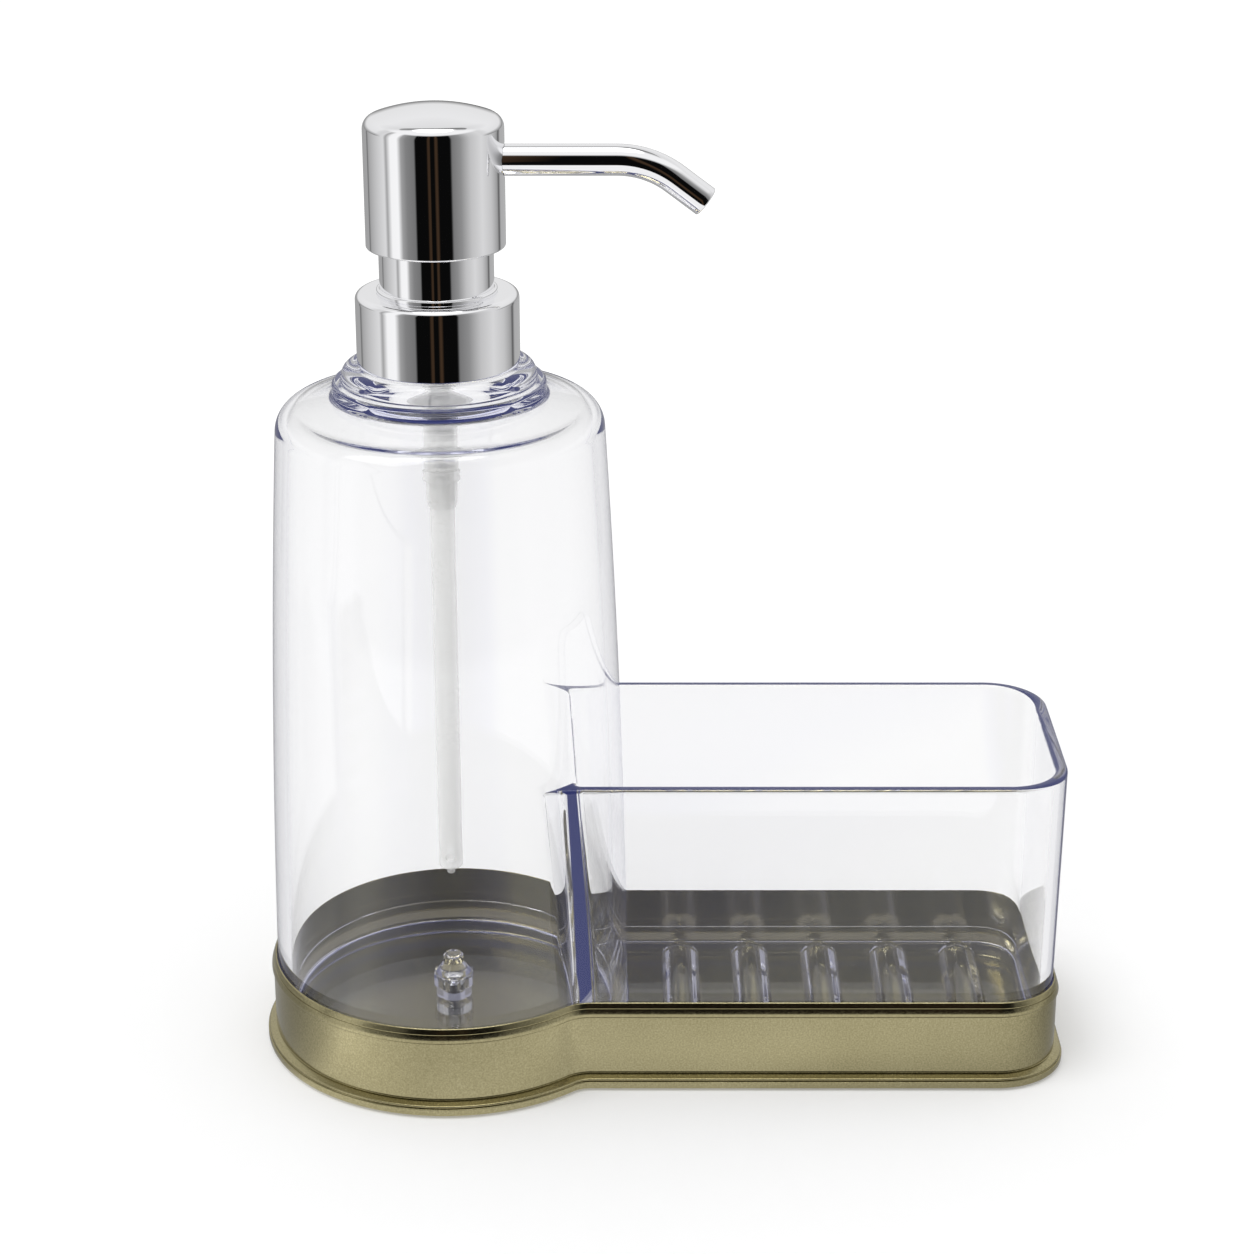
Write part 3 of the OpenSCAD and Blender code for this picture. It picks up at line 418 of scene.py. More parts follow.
def ridgeTree():
    # a row of ridges: each one a rounded bar with sloping sides and half round ends
    tree, size = newTree("ridgeRow", {
        "Count": 5, "Pitch": 16.4, "First X": 50.0, "Foot Z": 8.6, "Reach": 20.0, "Foot Half Width": 4.0,
        "Top Half Width": 2.5, "Height": 2.6, "Root": 1.0, "Edge Round": 0.5})

    def sums(how, *values):
        return mathNode(tree, how, *values)

    bar = addNode(tree, "GeometryNodeMeshCylinder", {
        "Vertices": 48, "Side Segments": 14, "Radius": 1, "Depth": 1}, fill_type="NGON")
    spot = addNode(tree, "GeometryNodeInputPosition")
    x, y, z = addNode(tree, "ShaderNodeSeparateXYZ", {0: spot}).outputs
    share = sums("ADD", z, 0.5)  # 0 at the root, 1 at the top
    whole = sums("ADD", size["Height"], size["Root"])
    rise = sums("SUBTRACT", sums("MULTIPLY", share, whole), size["Root"])
    lift = sums("MAXIMUM", 0.0, sums("DIVIDE", rise, size["Height"]))
    slope = sums("MULTIPLY", lift, sums("SUBTRACT", size["Foot Half Width"], size["Top Half Width"]))
    body = sums("SUBTRACT", size["Foot Half Width"], slope)
    # rounded upper edge: a quarter circle taken off over the last stretch
    depth = sums("MAXIMUM", 0.0, sums("SUBTRACT", sums("ADD", rise, size["Edge Round"]), size["Height"]))
    square = sums("SUBTRACT", sums("POWER", size["Edge Round"], 2.0), sums("POWER", depth, 2.0))
    chord = sums("SQRT", sums("MAXIMUM", 0.0, square))
    radius = sums("SUBTRACT", body, sums("SUBTRACT", size["Edge Round"], chord))
    # the two halves of the round bar are drawn apart, and the middle stays where it is
    side = sums("SIGN", sums("ROUND", sums("MULTIPLY", y, 1000.0)))
    place = addNode(tree, "ShaderNodeCombineXYZ", {
        0: sums("MULTIPLY", x, radius), 2: rise,
        1: sums("ADD", sums("MULTIPLY", y, radius), sums("MULTIPLY", side, size["Reach"]))})
    shaped = addNode(tree, "GeometryNodeSetPosition", {"Geometry": bar, "Position": place})
    firstSpot = addNode(tree, "ShaderNodeCombineXYZ", {0: size["First X"], 2: size["Foot Z"]})
    step = addNode(tree, "ShaderNodeCombineXYZ", {0: size["Pitch"]})
    row = addNode(tree, "GeometryNodeMeshLine", {
        "Count": size["Count"], "Start Location": firstSpot, "Offset": step})
    spread = addNode(tree, "GeometryNodeInstanceOnPoints", {"Points": row, "Instance": shaped})
    return endTree(tree, spread, size["Material"])


def coilTree():
    # a round bar wound on a cylinder, thinning out at its ends by the fade share
    tree, size = newTree("coil", {
        "Turns": 9.0, "Coil Radius": 2.3, "Low Z": 0.0, "Height": 20.0, "Bar Radius": 0.3, "Bar Sides": 12,
        "Steps": 48, "Fade": 0.02})
    line = addNode(tree, "GeometryNodeCurveSpiral", {
        "Resolution": size["Steps"], "Rotations": size["Turns"], "Start Radius": size["Coil Radius"],
        "End Radius": size["Coil Radius"], "Height": size["Height"]})
    along = addNode(tree, "GeometryNodeSplineParameter").outputs["Factor"]
    ends = mathNode(tree, "MINIMUM", along, mathNode(tree, "SUBTRACT", 1.0, along))
    fade = mathNode(tree, "DIVIDE", ends, size["Fade"])
    thick = mathNode(tree, "MINIMUM", 1.0, mathNode(tree, "MAXIMUM", 0.02, fade))
    sized = addNode(tree, "GeometryNodeSetCurveRadius", {"Curve": line, "Radius": thick})
    ring = addNode(tree, "GeometryNodeCurvePrimitiveCircle", {
        "Resolution": size["Bar Sides"], "Radius": size["Bar Radius"]})
    bar = addNode(tree, "GeometryNodeCurveToMesh", {"Curve": sized, "Profile Curve": ring, "Fill Caps": True})
    if "Scale" in bar.inputs:
        tree.links.new(thick, bar.inputs["Scale"])
    lift = addNode(tree, "ShaderNodeCombineXYZ", {2: size["Low Z"]})
    moved = addNode(tree, "GeometryNodeTransform", {"Geometry": bar, "Translation": lift})
    return endTree(tree, moved, size["Material"])


ridgeRow = ridgeTree()
coil = coilTree()

# Tray; the small forms of its wall are listed as (out, up), the bead's arcs as (radius, last turn, steps)
tray = {"radius": 41.1, "halfDepth": 29.2, "endX": 137.0, "cornerRadius": 14.5, "notchRadius": 8.0,
        "height": 21.0, "thick": 0.8, "floorTop": 3.0, "floorLow": 2.2, "foot": 0.6, "screwHole": 1.75,
        "flangeOut": 1.9, "flangeEdge": 0.4, "flangeShoulder": 2.30, "shoulderEdge": 0.15,
        "flangeStep": 1.62, "stepEdge": 0.3, "flangeSlope": 64, "flangeTop": 3.50,
        "crease": ((-0.2, 0.0), (-0.28, 0.1), (-0.26, 0.28), (-0.06, 0.36), (0.0, 0.45)),
        "beadOut": 0.38, "beadHigh": 2.921, "beadRoot": ((0.0, -0.75), (-0.08, -0.45), (0.02, -0.28)),
        "beadUnder": 0.28, "beadStrip": 0.25, "grooveTurn": 21,
        "bead": ((1.2, 14, 3), (8.8, 21, 3), (8.8, 28, 3), (0.3, 90, 5)),
        "groove": ((-0.14, 0.04), (-0.16, 0.16), (-0.04, 0.22))}


def roundCentre(r, q, y):
    # centre, at depth y, of a round of radius q outside a circle of radius r, and the angle where they meet
    x = math.sqrt((r + q) ** 2 - y ** 2)
    return (x, y), math.degrees(math.atan2(y, x))


def trayOutline(grow, z):
    r, d = tray["radius"] + grow, tray["halfDepth"] + grow
    x, c, q = tray["endX"] + grow, tray["cornerRadius"] + grow, tray["notchRadius"] - grow
    notch, turn = roundCentre(r, q, d + q)
    half = arcPoints((x - c, d - c), c, 0, 90, 20) + arcPoints(notch, q, 270, 180 + turn, 14)
    half += arcPoints((0, 0), r, turn, 180, 72)[1:-1]
    return [(px, py, z) for px, py in half + [(-r, 0.0)] + [(px, -py) for px, py in reversed(half)]]


def bronzeTray():
    t = tray
    wall, foot, shoulder, step = -t["thick"], t["foot"], t["flangeShoulder"], t["flangeStep"]
    bend, under = t["stepEdge"], t["beadUnder"]
    stations = [(wall, t["floorLow"]), (wall + 0.1, foot + 0.1), (wall + 0.2, foot)]
    stations += footRound(t["flangeOut"], foot, t["flangeEdge"], 5)
    stations += topRound(t["flangeOut"], shoulder, t["shoulderEdge"], 3)
    stations += [(step - 0.05, shoulder), (step - 0.12, shoulder + 0.12)]
    stations += arcPoints((step - bend, shoulder + 0.4), bend, 0, t["flangeSlope"], 5)
    stations += [(out, t["flangeTop"] + up) for out, up in t["crease"]]
    # the rolled bead: a turn under, a short upright strip, a long curve that leans in and a small turn over,
    # with a fine groove along the curve
    low = t["height"] - t["beadHigh"]
    stations += [(out, low + up) for out, up in t["beadRoot"]]
    stations += arcPoints((t["beadOut"] - under, low), under, -80, 0, 5)
    x, z, turned = t["beadOut"], low + t["beadStrip"], 0.0
    for radius, turn, steps in t["bead"]:
        a = math.radians(turned)
        centre = (x - radius * math.cos(a), z - radius * math.sin(a))
        stations += arcPoints(centre, radius, turned, turn, steps)
        (x, z), turned = stations[-1], turn
        if turn == t["grooveTurn"]:
            stations += [(x + out, z + up) for out, up in t["groove"]]
            x, z = stations[-1]
    # and down the inside of the wall to the floor
    stations += [(wall + 0.05, t["height"] - 0.02), (wall, t["height"] - 0.1), (wall, t["floorTop"] + 0.5),
                 (wall - 0.15, t["floorTop"] + 0.15), (wall - 0.5, t["floorTop"])]
    piece = loftMesh("bronzeTray", [trayOutline(grow, min(z, t["height"])) for grow, z in stations])
    tidyMesh(combine(piece, rodMesh("screwHole", t["screwHole"], 1, 4, 48), "DIFFERENCE"))
    return finishPiece(piece, bronze, "base", ["base_tray"], sharp=40)


pad = {"inset": 2.5, "top": 2.2, "edge": 0.4, "topEdge": 0.15, "hollowZ": 0.65, "hollowRadius": 3.45}


def gripPad():
    top, edge, outer = pad["top"], pad["edge"], -pad["inset"]
    stations = [(outer - edge, 0.0)]
    stations += [(outer - edge + edge * math.sin(math.radians(a)), edge - edge * math.cos(math.radians(a)))
                 for a in (18, 36, 54, 72, 90)]
    stations += [(outer, top - pad["topEdge"]), (outer - pad["topEdge"], top)]
    piece = loftMesh("gripPad", [trayOutline(grow, z) for grow, z in stations])
    tidyMesh(combine(piece, rodMesh("padHollow", pad["hollowRadius"], pad["hollowZ"], 3, 48), "DIFFERENCE"))
    return finishPiece(piece, padDark, "base", ["grip_pad"], sharp=40)


bronzeTray()
gripPad()
print("tray and pad made")

# Clear moulding: box, bottle and reservoir floor in one; wallZ and stopsZ only add rings to its walls
bottle = {"footRadius": 40.05, "footZ": 3.03, "footRound": 0.5, "wallZ": 12.0, "straightTo": 21.0,
          "topRadius": 35.35, "swell": 0.74, "shoulderZ": 145.6, "shoulderRadius": 6.0, "slope": 14.0,
          "wall": 3.0, "lowRing": 22.9, "lowRingHeight": 3.1, "lowRingRound": 0.9, "ringFillet": 1.2,
          "highRing": 20.85, "highRingHeight": 3.65, "highRingRound": 2.6, "ringStep": 0.35,
          "recess": 0.25, "recessRadius": 17.7, "recessEdge": 0.15, "neck": 12.8, "neckBore": 11.0,
          "neckHeight": 11.05, "neckRound": 0.5, "floorZ": 8.6, "floorLow": 6.2, "floorFillet": 1.2,
          "floorLedge": 0.4, "floorRim": 13.6, "floorBite": 0.8, "rimEdge": 0.12,
          "ledgeZ": 6.2, "ledgeRadius": 38.35}
box = {"halfDepth": 28.15, "endX": 135.95, "cornerRadius": 13.45, "flare": 2.2, "endLean": 0.2, "wall": 2.7,
       "footZ": 3.12, "wallZ": 12.0, "stopsZ": (35.0, 52.0), "rimZ": 73.4, "rimRound": 0.9, "floorZ": 8.6,
       "floorLow": 6.2, "fillet": 0.5, "stepZ": 12.5, "step": 0.2, "blend": 9.0, "blendGrowth": 9.0,
       "blendPower": 0.6, "crevice": 1.5, "bite": 0.12, "lowestRadius": 0.1}


def bottleRadius(z):
    b = bottle
    t = max(0.0, (z - b["straightTo"]) / (b["shoulderZ"] - b["straightTo"]))
    return b["footRadius"] - (b["footRadius"] - b["topRadius"]) * t + 4 * b["swell"] * t * (1 - t)


def leanShare(z):
    return max(0.0, (z - tray["height"]) / (box["rimZ"] - tray["height"]))


def boxOutline(z, inset):
    r, s = bottleRadius(z) - box["bite"], leanShare(z)
    d, x = box["halfDepth"] + box["flare"] * s - inset, box["endX"] + box["endLean"] * s - inset
    c, q = box["cornerRadius"] - inset, box["blend"] + box["blendGrowth"] * s ** box["blendPower"] + inset
    blend, turn = roundCentre(r, q, d + q)
    half = arcPoints((x - c, d - c), c, 0, 90, 18) + arcPoints(blend, q, 270, 180 + turn, 14)
    return [(px, py, z) for px, py in mirrorLoop(half)]


def cavityOutline(z, inset):
    r, s = bottleRadius(z) - box["bite"] + inset, leanShare(z)
    d = box["halfDepth"] + box["flare"] * s - box["wall"] - inset
    x = box["endX"] + box["endLean"] * s - box["wall"] - inset
    c = max(box["cornerRadius"] - box["wall"] - inset, box["lowestRadius"])
    q = max(box["crevice"] - inset, box["lowestRadius"])
    crevice, turn = roundCentre(r, q, d - q)
    half = arcPoints((x - c, d - c), c, 0, 90, 18) + arcPoints(crevice, q, 90, 180 + turn, 12)
    steps = 27
    half += [(r * math.cos(math.radians(a)), r * math.sin(math.radians(a))) for a in (
        turn - 2 * turn * i / steps for i in range(1, steps // 2 + 1))]
    return [(px, py, z) for px, py in mirrorLoop(half)]


def rimStations(rim, turns):
    # heights and insets up the round of the rim, which leans in for a rim above 0 and out for one below
    return [(box["rimZ"] - abs(rim) * (1 - math.sin(a)), rim * (1 - math.cos(a)))
            for a in map(math.radians, turns)]


def boxOutside():
    stations = [(z, 0.0) for z in (box["footZ"], box["wallZ"], tray["height"], *box["stopsZ"])]
    stations += rimStations(box["rimRound"], range(0, 91, 15))
    return loftMesh("boxOutside", [boxOutline(z, inset) for z, inset in stations])


def boxSpace():
    f, rim, step, stepZ = box["fillet"], box["rimRound"], box["step"], box["stepZ"]
    foot = [math.radians(a) for a in range(0, 91, 10)]
    stations = [(box["floorZ"] + f * (1 - math.cos(a)), step + f * (1 - math.sin(a))) for a in foot]
    stations += [(stepZ - 0.12, step), (stepZ - 0.02, step - 0.1)]
    stations += [(z, 0.0) for z in (stepZ, tray["height"], *box["stopsZ"])]
    stations += rimStations(-rim, range(0, 90, 15))
    stations += [(box["rimZ"] + 0.02, -rim), (box["rimZ"] + 1, -rim)]
    return loftMesh("boxSpace", [cavityOutline(z, inset) for z, inset in stations])


def bottleProfiles():
    # the outside and the space inside, and how high the neck reaches
    b = bottle
    rise = b["shoulderZ"] - b["straightTo"]
    lean = math.degrees(math.atan((b["footRadius"] - b["topRadius"] + 4 * b["swell"]) / rise))
    slope, tilt, sr = math.radians(b["slope"]), math.radians(lean), b["shoulderRadius"]
    centre = (b["topRadius"] - sr * math.cos(tilt), b["shoulderZ"] - sr * math.sin(tilt))
    slopeStart = (centre[0] + sr * math.sin(slope), centre[1] + sr * math.cos(slope))
    lowZ = slopeStart[1] + (slopeStart[0] - b["lowRing"]) * math.tan(slope)
    highZ = lowZ + b["lowRingHeight"]
    topZ = highZ + b["highRingHeight"]
    neckTop = topZ + b["neckHeight"]
    fillet, step, foot = b["ringFillet"], b["ringStep"], b["footRound"]
    profile = [(0, b["footZ"]), (b["footRadius"] - foot, b["footZ"])]
    profile += footRound(b["footRadius"], b["footZ"], foot, 4)[1:]
    heights = [b["straightTo"] + rise * i / 24 for i in range(25)]
    profile += [(bottleRadius(z), z) for z in [b["wallZ"], *heights]]
    profile += arcPoints(centre, sr, lean, 90 - b["slope"], 12)
    # the two rings of the neck, each rounded at its top
    profile += arcPoints((b["lowRing"] + fillet, lowZ + fillet * (1 - math.sin(slope)) / math.cos(slope)),
                         fillet, 270 - b["slope"], 180, 6)
    profile += topRound(b["lowRing"], highZ, b["lowRingRound"], 6)
    profile += [(b["highRing"] + step, highZ + 0.02)]
    profile += arcPoints((b["highRing"] + step, highZ + 0.37), step, 270, 180, 3)[1:]
    profile += topRound(b["highRing"], topZ, b["highRingRound"], 10)
    profile += [(b["recessRadius"] + b["recessEdge"], topZ), (b["recessRadius"], topZ - b["recessEdge"]),
                (b["recessRadius"], topZ - b["recess"]), (b["neck"], topZ - b["recess"])]
    profile += topRound(b["neck"], neckTop, b["neckRound"], 4) + [(0, neckTop)]
    inner, wall, bore = sr - b["wall"], b["footRadius"] - b["wall"], b["neckBore"]
    innerStart = (centre[0] + inner * math.sin(slope), centre[1] + inner * math.cos(slope))
    boreFoot = innerStart[1] + (innerStart[0] - bore) * math.tan(slope)
    space = [(0, 1.0), (b["ledgeRadius"], 1.0), (b["ledgeRadius"], b["ledgeZ"]), (wall, b["ledgeZ"]),
             (wall, b["wallZ"])]
    space += [(bottleRadius(z) - b["wall"], z) for z in heights[:-1]]
    space += arcPoints(centre, inner, lean, 90 - b["slope"], 12)
    # soft inner edge where the shoulder turns up into the neck
    space += [(bore + 1.0, boreFoot - math.tan(slope) * 1.0), (bore + 0.35, boreFoot + 0.2),
              (bore, boreFoot + 1.1), (bore, neckTop + 1), (0, neckTop + 1)]
    return profile, space, neckTop


def reservoirFloor():
    b = bottle
    wall = b["footRadius"] - b["wall"]
    outer, inner, rim, f = wall + b["floorBite"], wall - b["floorLedge"], b["floorRim"], b["floorFillet"]
    profile = [(0, b["floorLow"]), (outer, b["floorLow"]), (outer, rim), (inner + b["rimEdge"], rim),
               (inner, rim - b["rimEdge"])]
    profile += arcPoints((inner - f, b["floorZ"] + f), f, 0, -90, 8) + [(0, b["floorZ"])]
    return latheMesh("reservoirFloor", profile, 144)


boss = {"footRadius": 4.1, "lowZ": 3.1, "ringLow": 11.175, "ringTop": 14.265, "ringRadius": 4.75,
        "ringEdge": 0.15, "sides": 8, "coneTop": 16.634, "capRadius": 2.3, "topZ": 18.9, "chamfer": 0.5,
        "holeRadius": 1.55, "holeTop": 12.9, "holePoint": 0.8}


def screwBoss():
    s = boss
    foot, cap, ring, edge = s["footRadius"], s["capRadius"], s["ringRadius"], s["ringEdge"]
    piece = latheMesh("boss", [
        (0, s["lowZ"]), (foot, s["lowZ"]), (foot, s["ringLow"] + 0.1), (foot - 0.02, s["ringTop"] - 0.1),
        (cap + 0.1, s["coneTop"]), (cap, s["coneTop"] + 0.15), (cap, s["topZ"] - s["chamfer"]),
        (cap - s["chamfer"], s["topZ"]), (0, s["topZ"])], 64)
    nut = latheMesh("bossRing", [
        (0, s["ringLow"]), (ring - edge, s["ringLow"]), (ring, s["ringLow"] + edge),
        (ring, s["ringTop"] - edge), (ring - edge, s["ringTop"]), (0, s["ringTop"])], s["sides"], 0.5)
    return combine(piece, nut, "UNION")


ridge = {"count": 5, "pitch": 16.4, "lastGap": 15.0, "endGap": 2.3, "foot": 4.35, "top": 2.6, "height": 2.6,
         "edge": 1.5, "shell": 1.3, "hollowDrop": 0.2}


def ridgesAndHollows():
    # lastGap is from the last ridge to the box's end wall; each ridge is hollow from below
    g, end, side = ridge, box["endX"] - box["wall"], box["halfDepth"] - box["wall"]
    row = {"Count": g["count"], "Pitch": g["pitch"], "Reach": side - g["endGap"] - g["foot"],
           "First X": end - g["lastGap"] - (g["count"] - 1) * g["pitch"], "Material": clear}
    ridges = meshFromTree("ridges", ridgeRow, {
        **row, "Foot Z": box["floorZ"], "Foot Half Width": g["foot"], "Top Half Width": g["top"],
        "Height": g["height"], "Edge Round": g["edge"]})
    hollows = meshFromTree("ridgeHollows", ridgeRow, {
        **row, "Foot Z": box["floorLow"], "Foot Half Width": g["foot"] - g["shell"],
        "Top Half Width": g["top"] - g["shell"], "Height": g["height"] - g["hollowDrop"]})
    return ridges, hollows


thread = {"turns": 1.25, "fromTop": 2.4, "height": 4.0, "radius": 1.0, "fade": 0.12}


def neckThread(neckTop):
    t = thread
    return meshFromTree("neckThread", coil, {
        "Turns": t["turns"], "Coil Radius": bottle["neck"], "Low Z": neckTop - t["fromTop"] - t["height"],
        "Height": t["height"], "Bar Radius": t["radius"], "Bar Sides": 10, "Steps": 64, "Fade": t["fade"],
        "Material": clear})


def clearMoulding():
    profile, space, neckTop = bottleProfiles()
    piece = latheMesh("clearMoulding", profile, 168)
    block = combine(boxOutside(), boxSpace(), "DIFFERENCE")
    combine(block, loftMesh("underFloor", [[(x, y, z) for x, y, _ in cavityOutline(box["footZ"], 0.0)]
                                           for z in (1.0, box["floorLow"])]), "DIFFERENCE")
    combine(piece, block, "UNION")
    combine(piece, latheMesh("bottleSpace", space, 168), "DIFFERENCE")
    combine(piece, reservoirFloor(), "UNION")
    combine(piece, screwBoss(), "UNION")
    radius, top = boss["holeRadius"], boss["holeTop"]
    hole = latheMesh("bossHole", [(0, 2), (radius, 2), (radius, top), (0, top + boss["holePoint"])], 32)
    combine(piece, hole, "DIFFERENCE")
    ridges, hollows = ridgesAndHollows()
    combine(piece, ridges, "UNION")
    combine(piece, hollows, "DIFFERENCE")
    combine(piece, neckThread(neckTop), "UNION")
    tidyMesh(piece, 20 * mergeGap)
    return finishPiece(piece, clear, "base", ["clear_body", "reservoir_floor"], sharp=34)


print("clear moulding made:", len(clearMoulding().data.polygons), "faces")

# Collar and sleeve
collar = {"radius": 17.35, "lowZ": 159.777, "height": 15.5, "thick": 0.75, "round": 1.4, "lipRound": 0.3,
          "insideRound": 0.7, "fitGap": 0.05, "sleeveRadius": 12.1, "sleeveThick": 0.75, "sleeveHeight": 12.8,
          "sleeveRound": 0.3, "sleeveLip": 0.7, "sleeveLipHeight": 0.9, "sleeveLipRound": 0.35}


def collarShell():
    c = collar
    r, low, lip, top = c["radius"], c["lowZ"], c["lipRound"], c["lowZ"] + c["height"]
    inner, hole = r - c["thick"], c["sleeveRadius"] + c["fitGap"]
    profile = [(inner, low + 0.1), (inner + 0.1, low), (r - lip, low)]
    profile += footRound(r, low, lip, 4)[1:] + topRound(r, top, c["round"], 10)
    profile += [(hole, top), (hole, top - c["thick"]), (inner - c["insideRound"], top - c["thick"]),
                (inner, top - c["thick"] - c["insideRound"])]
    return finishPiece(latheMesh("collarShell", profile, 160), chrome, "collar", ["collar_shell"])


def pumpSleeve():
    c = collar
    base, r = c["lowZ"] + c["height"], c["sleeveRadius"]
    top, inner = base + c["sleeveHeight"], r - c["sleeveThick"]
    lip, lipTop = r + c["sleeveLip"], base + c["sleeveLipHeight"]
    profile = [(inner, base - c["thick"]), (r, base - c["thick"]), (r, base), (lip - 0.1, base),
               (lip, base + 0.1)]
    profile += topRound(lip, lipTop, c["sleeveLipRound"], 4) + [(r + 0.12, lipTop), (r, lipTop + 0.12)]
    profile += topRound(r, top, c["sleeveRound"], 4) + [(inner + 0.1, top), (inner, top - 0.1)]
    return finishPiece(latheMesh("pumpSleeve", profile, 144), chrome, "collar", ["sleeve"])


collarShell()
pumpSleeve()

# Head, spout and its liner
head = {"radius": 14.7, "lowZ": 185.077, "sideHeight": 26.7, "round": 2.8, "domeSlope": 23.0, "thick": 0.9,
        "lipRound": 0.35, "portRadius": 3.55, "spoutZ": 203.177}
spout = {"radius": 3.3, "bore": 2.7, "linerRadius": 2.65, "linerBore": 1.5, "linerBack": 0.8,
         "linerEdge": 0.2, "rootX": 8.0, "stopsX": (14.0, 16.0, 24.0, 31.0), "straight": 38.0,
         "bendRadius": 20.0, "bend": 37.0, "end": 8.1, "lip": 0.28, "sides": 48}


def domeOutline(inset, steps):
    h = head
    slope = math.radians(h["domeSlope"])
    domeRadius = h["radius"] / math.sin(slope)
    centreZ = h["lowZ"] + h["sideHeight"] - domeRadius * math.cos(slope)
    cx = h["radius"] - h["round"]
    cz = centreZ + math.sqrt((domeRadius - h["round"]) ** 2 - cx ** 2)
    turn = math.degrees(math.atan2(cz - centreZ, cx))
    points = arcPoints((cx, cz), h["round"] - inset, 0, turn, steps)
    points += arcPoints((0, centreZ), domeRadius - inset, turn, 90, 2 * steps)[1:-1]
    return points + [(0.0, centreZ + domeRadius - inset)]


def headShell():
    h = head
    r, inner, low, lip = h["radius"], h["radius"] - h["thick"], h["lowZ"], h["lipRound"]
    inside = [(inner, low + 6)] + domeOutline(h["thick"], 6)
    profile = list(reversed(inside)) + [(inner, low + lip)]
    profile += arcPoints((inner + lip, low + lip), lip, 180, 270, 4)[1:]
    profile += arcPoints((r - lip, low + lip), lip, 270, 360, 4)
    profile += [(r, low + z) for z in (6, 12, 18)] + domeOutline(0, 10)
    piece = latheMesh("headShell", profile, 168)
    port = rodMesh("spoutPort", h["portRadius"], 0, 20, 48)
    port.data.transform(Matrix.Translation((0, 0, h["spoutZ"])) @ Matrix.Rotation(math.radians(90), 4, "Y"))
    tidyMesh(combine(piece, port, "DIFFERENCE"))
    return finishPiece(piece, chrome, "head", ["head_shell"])


def spoutPlace(distance):
    # place and slope on the spout's line, a distance past the pump's axis
    s = spout
    bent = s["bendRadius"] * math.radians(s["bend"])
    if distance <= s["straight"]:
        return Vector((distance, 0, head["spoutZ"])), 0.0
    a = min(distance - s["straight"], bent) / s["bendRadius"]
    place = Vector((s["straight"] + s["bendRadius"] * math.sin(a), 0,
                    head["spoutZ"] - s["bendRadius"] * (1 - math.cos(a))))
    rest = max(0.0, distance - s["straight"] - bent)
    return place + rest * Vector((math.cos(a), 0, -math.sin(a))), a


def spoutShell(name, stations):
    # stations: (distance along the line, radius), a closed path from outside to inside
    loops, turns = [], [2 * math.pi * k / spout["sides"] for k in range(spout["sides"])]
    for distance, r in stations:
        place, a = spoutPlace(distance)
        across, up = Vector((0, 1, 0)), Vector((math.sin(a), 0, math.cos(a)))
        loops.append([tuple(place + r * (math.sin(t) * across + math.cos(t) * up)) for t in turns])
    return loftMesh(name, loops, closed=True)


def spoutAndLiner():
    s, lip, edge = spout, spout["lip"], spout["linerEdge"]
    whole = s["straight"] + s["bendRadius"] * math.radians(s["bend"]) + s["end"]
    run = [s["rootX"], *s["stopsX"]]
    run += [s["straight"] + s["bendRadius"] * math.radians(s["bend"]) * i / 14 for i in range(15)]
    shell = [(d, s["radius"]) for d in run] + [(whole - lip - 1.0, s["radius"])]
    shell += [(whole - lip + y, s["radius"] - lip + x) for x, y in arcPoints((0, 0), lip, 0, 90, 5)]
    shell += [(whole - 0.08, s["bore"] + 0.08), (whole - 0.25, s["bore"])]
    shell += [(d, s["bore"]) for d in reversed(run)]
    finishPiece(spoutShell("spoutTube", shell), chrome, "head", ["spout"])
    end, outer, bore = whole - s["linerBack"], s["linerRadius"], s["linerBore"]
    liner = [(d, outer) for d in run] + [(end - edge, outer), (end, outer - edge), (end, bore + edge)]
    liner += [(end - edge, bore)] + [(d, bore) for d in reversed(run)]
    finishPiece(spoutShell("spoutLiner", liner), white, "head", ["spout_liner"])


headShell()
spoutAndLiner()
print("collar, head and spout made")

# Dip tube and spring
dip = {"radius": 2.7, "bore": 1.7, "footZ": 41.1, "stopsZ": (60.0, 85.0, 110.0), "topZ": 134.53, "bung": 1.0,
       "port": 1.1, "nib": 0.9, "nibHeight": 1.6, "nibEdge": 0.15, "footRound": 0.8}


def dipTube():
    d = dip
    foot, r, nib, nibEdge = d["footZ"], d["radius"], d["nib"], d["nibEdge"]
    tip, inside = foot - d["nibHeight"], foot + d["bung"]
    profile = [(0, tip), (nib - nibEdge, tip), (nib, tip + nibEdge), (nib, foot - 0.1), (nib + 0.1, foot)]
    profile += footRound(r, foot, d["footRound"], 6) + [(r, z) for z in (*d["stopsZ"], d["topZ"])]
    profile += [(d["bore"], z) for z in (d["topZ"], *reversed(d["stopsZ"]), inside)] + [(0, inside)]
    piece = latheMesh("dipTube", profile, 64)
    port = rodMesh("dipPort", d["port"], -4, 4, 32)
    port.data.transform(Matrix.Translation((0, 0, inside + 2 * d["port"]))
                        @ Matrix.Rotation(math.radians(90), 4, "X"))
    tidyMesh(combine(piece, port, "DIFFERENCE"))
    return finishPiece(piece, frosted, "pump", ["dip_tube"])


spring = {"low": 142.477, "top": 163.577, "travel": 9.3, "wire": 0.3, "turns": 9.0, "radius": 2.3,
          "fade": 0.002}


def pumpSpring():
    low, top, wire = spring["low"], spring["top"], spring["wire"]
    piece = meshFromTree("pumpSpring", coil, {
        "Turns": spring["turns"], "Coil Radius": spring["radius"], "Low Z": low + wire,
        "Height": top - low - 2 * wire, "Bar Radius": wire, "Bar Sides": 12, "Steps": 40,
        "Fade": spring["fade"], "Material": steel})
    finishPiece(piece, steel, "pump", ["return_spring"])
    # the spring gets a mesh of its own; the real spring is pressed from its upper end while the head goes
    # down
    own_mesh(piece)


dipTube()
pumpSpring()

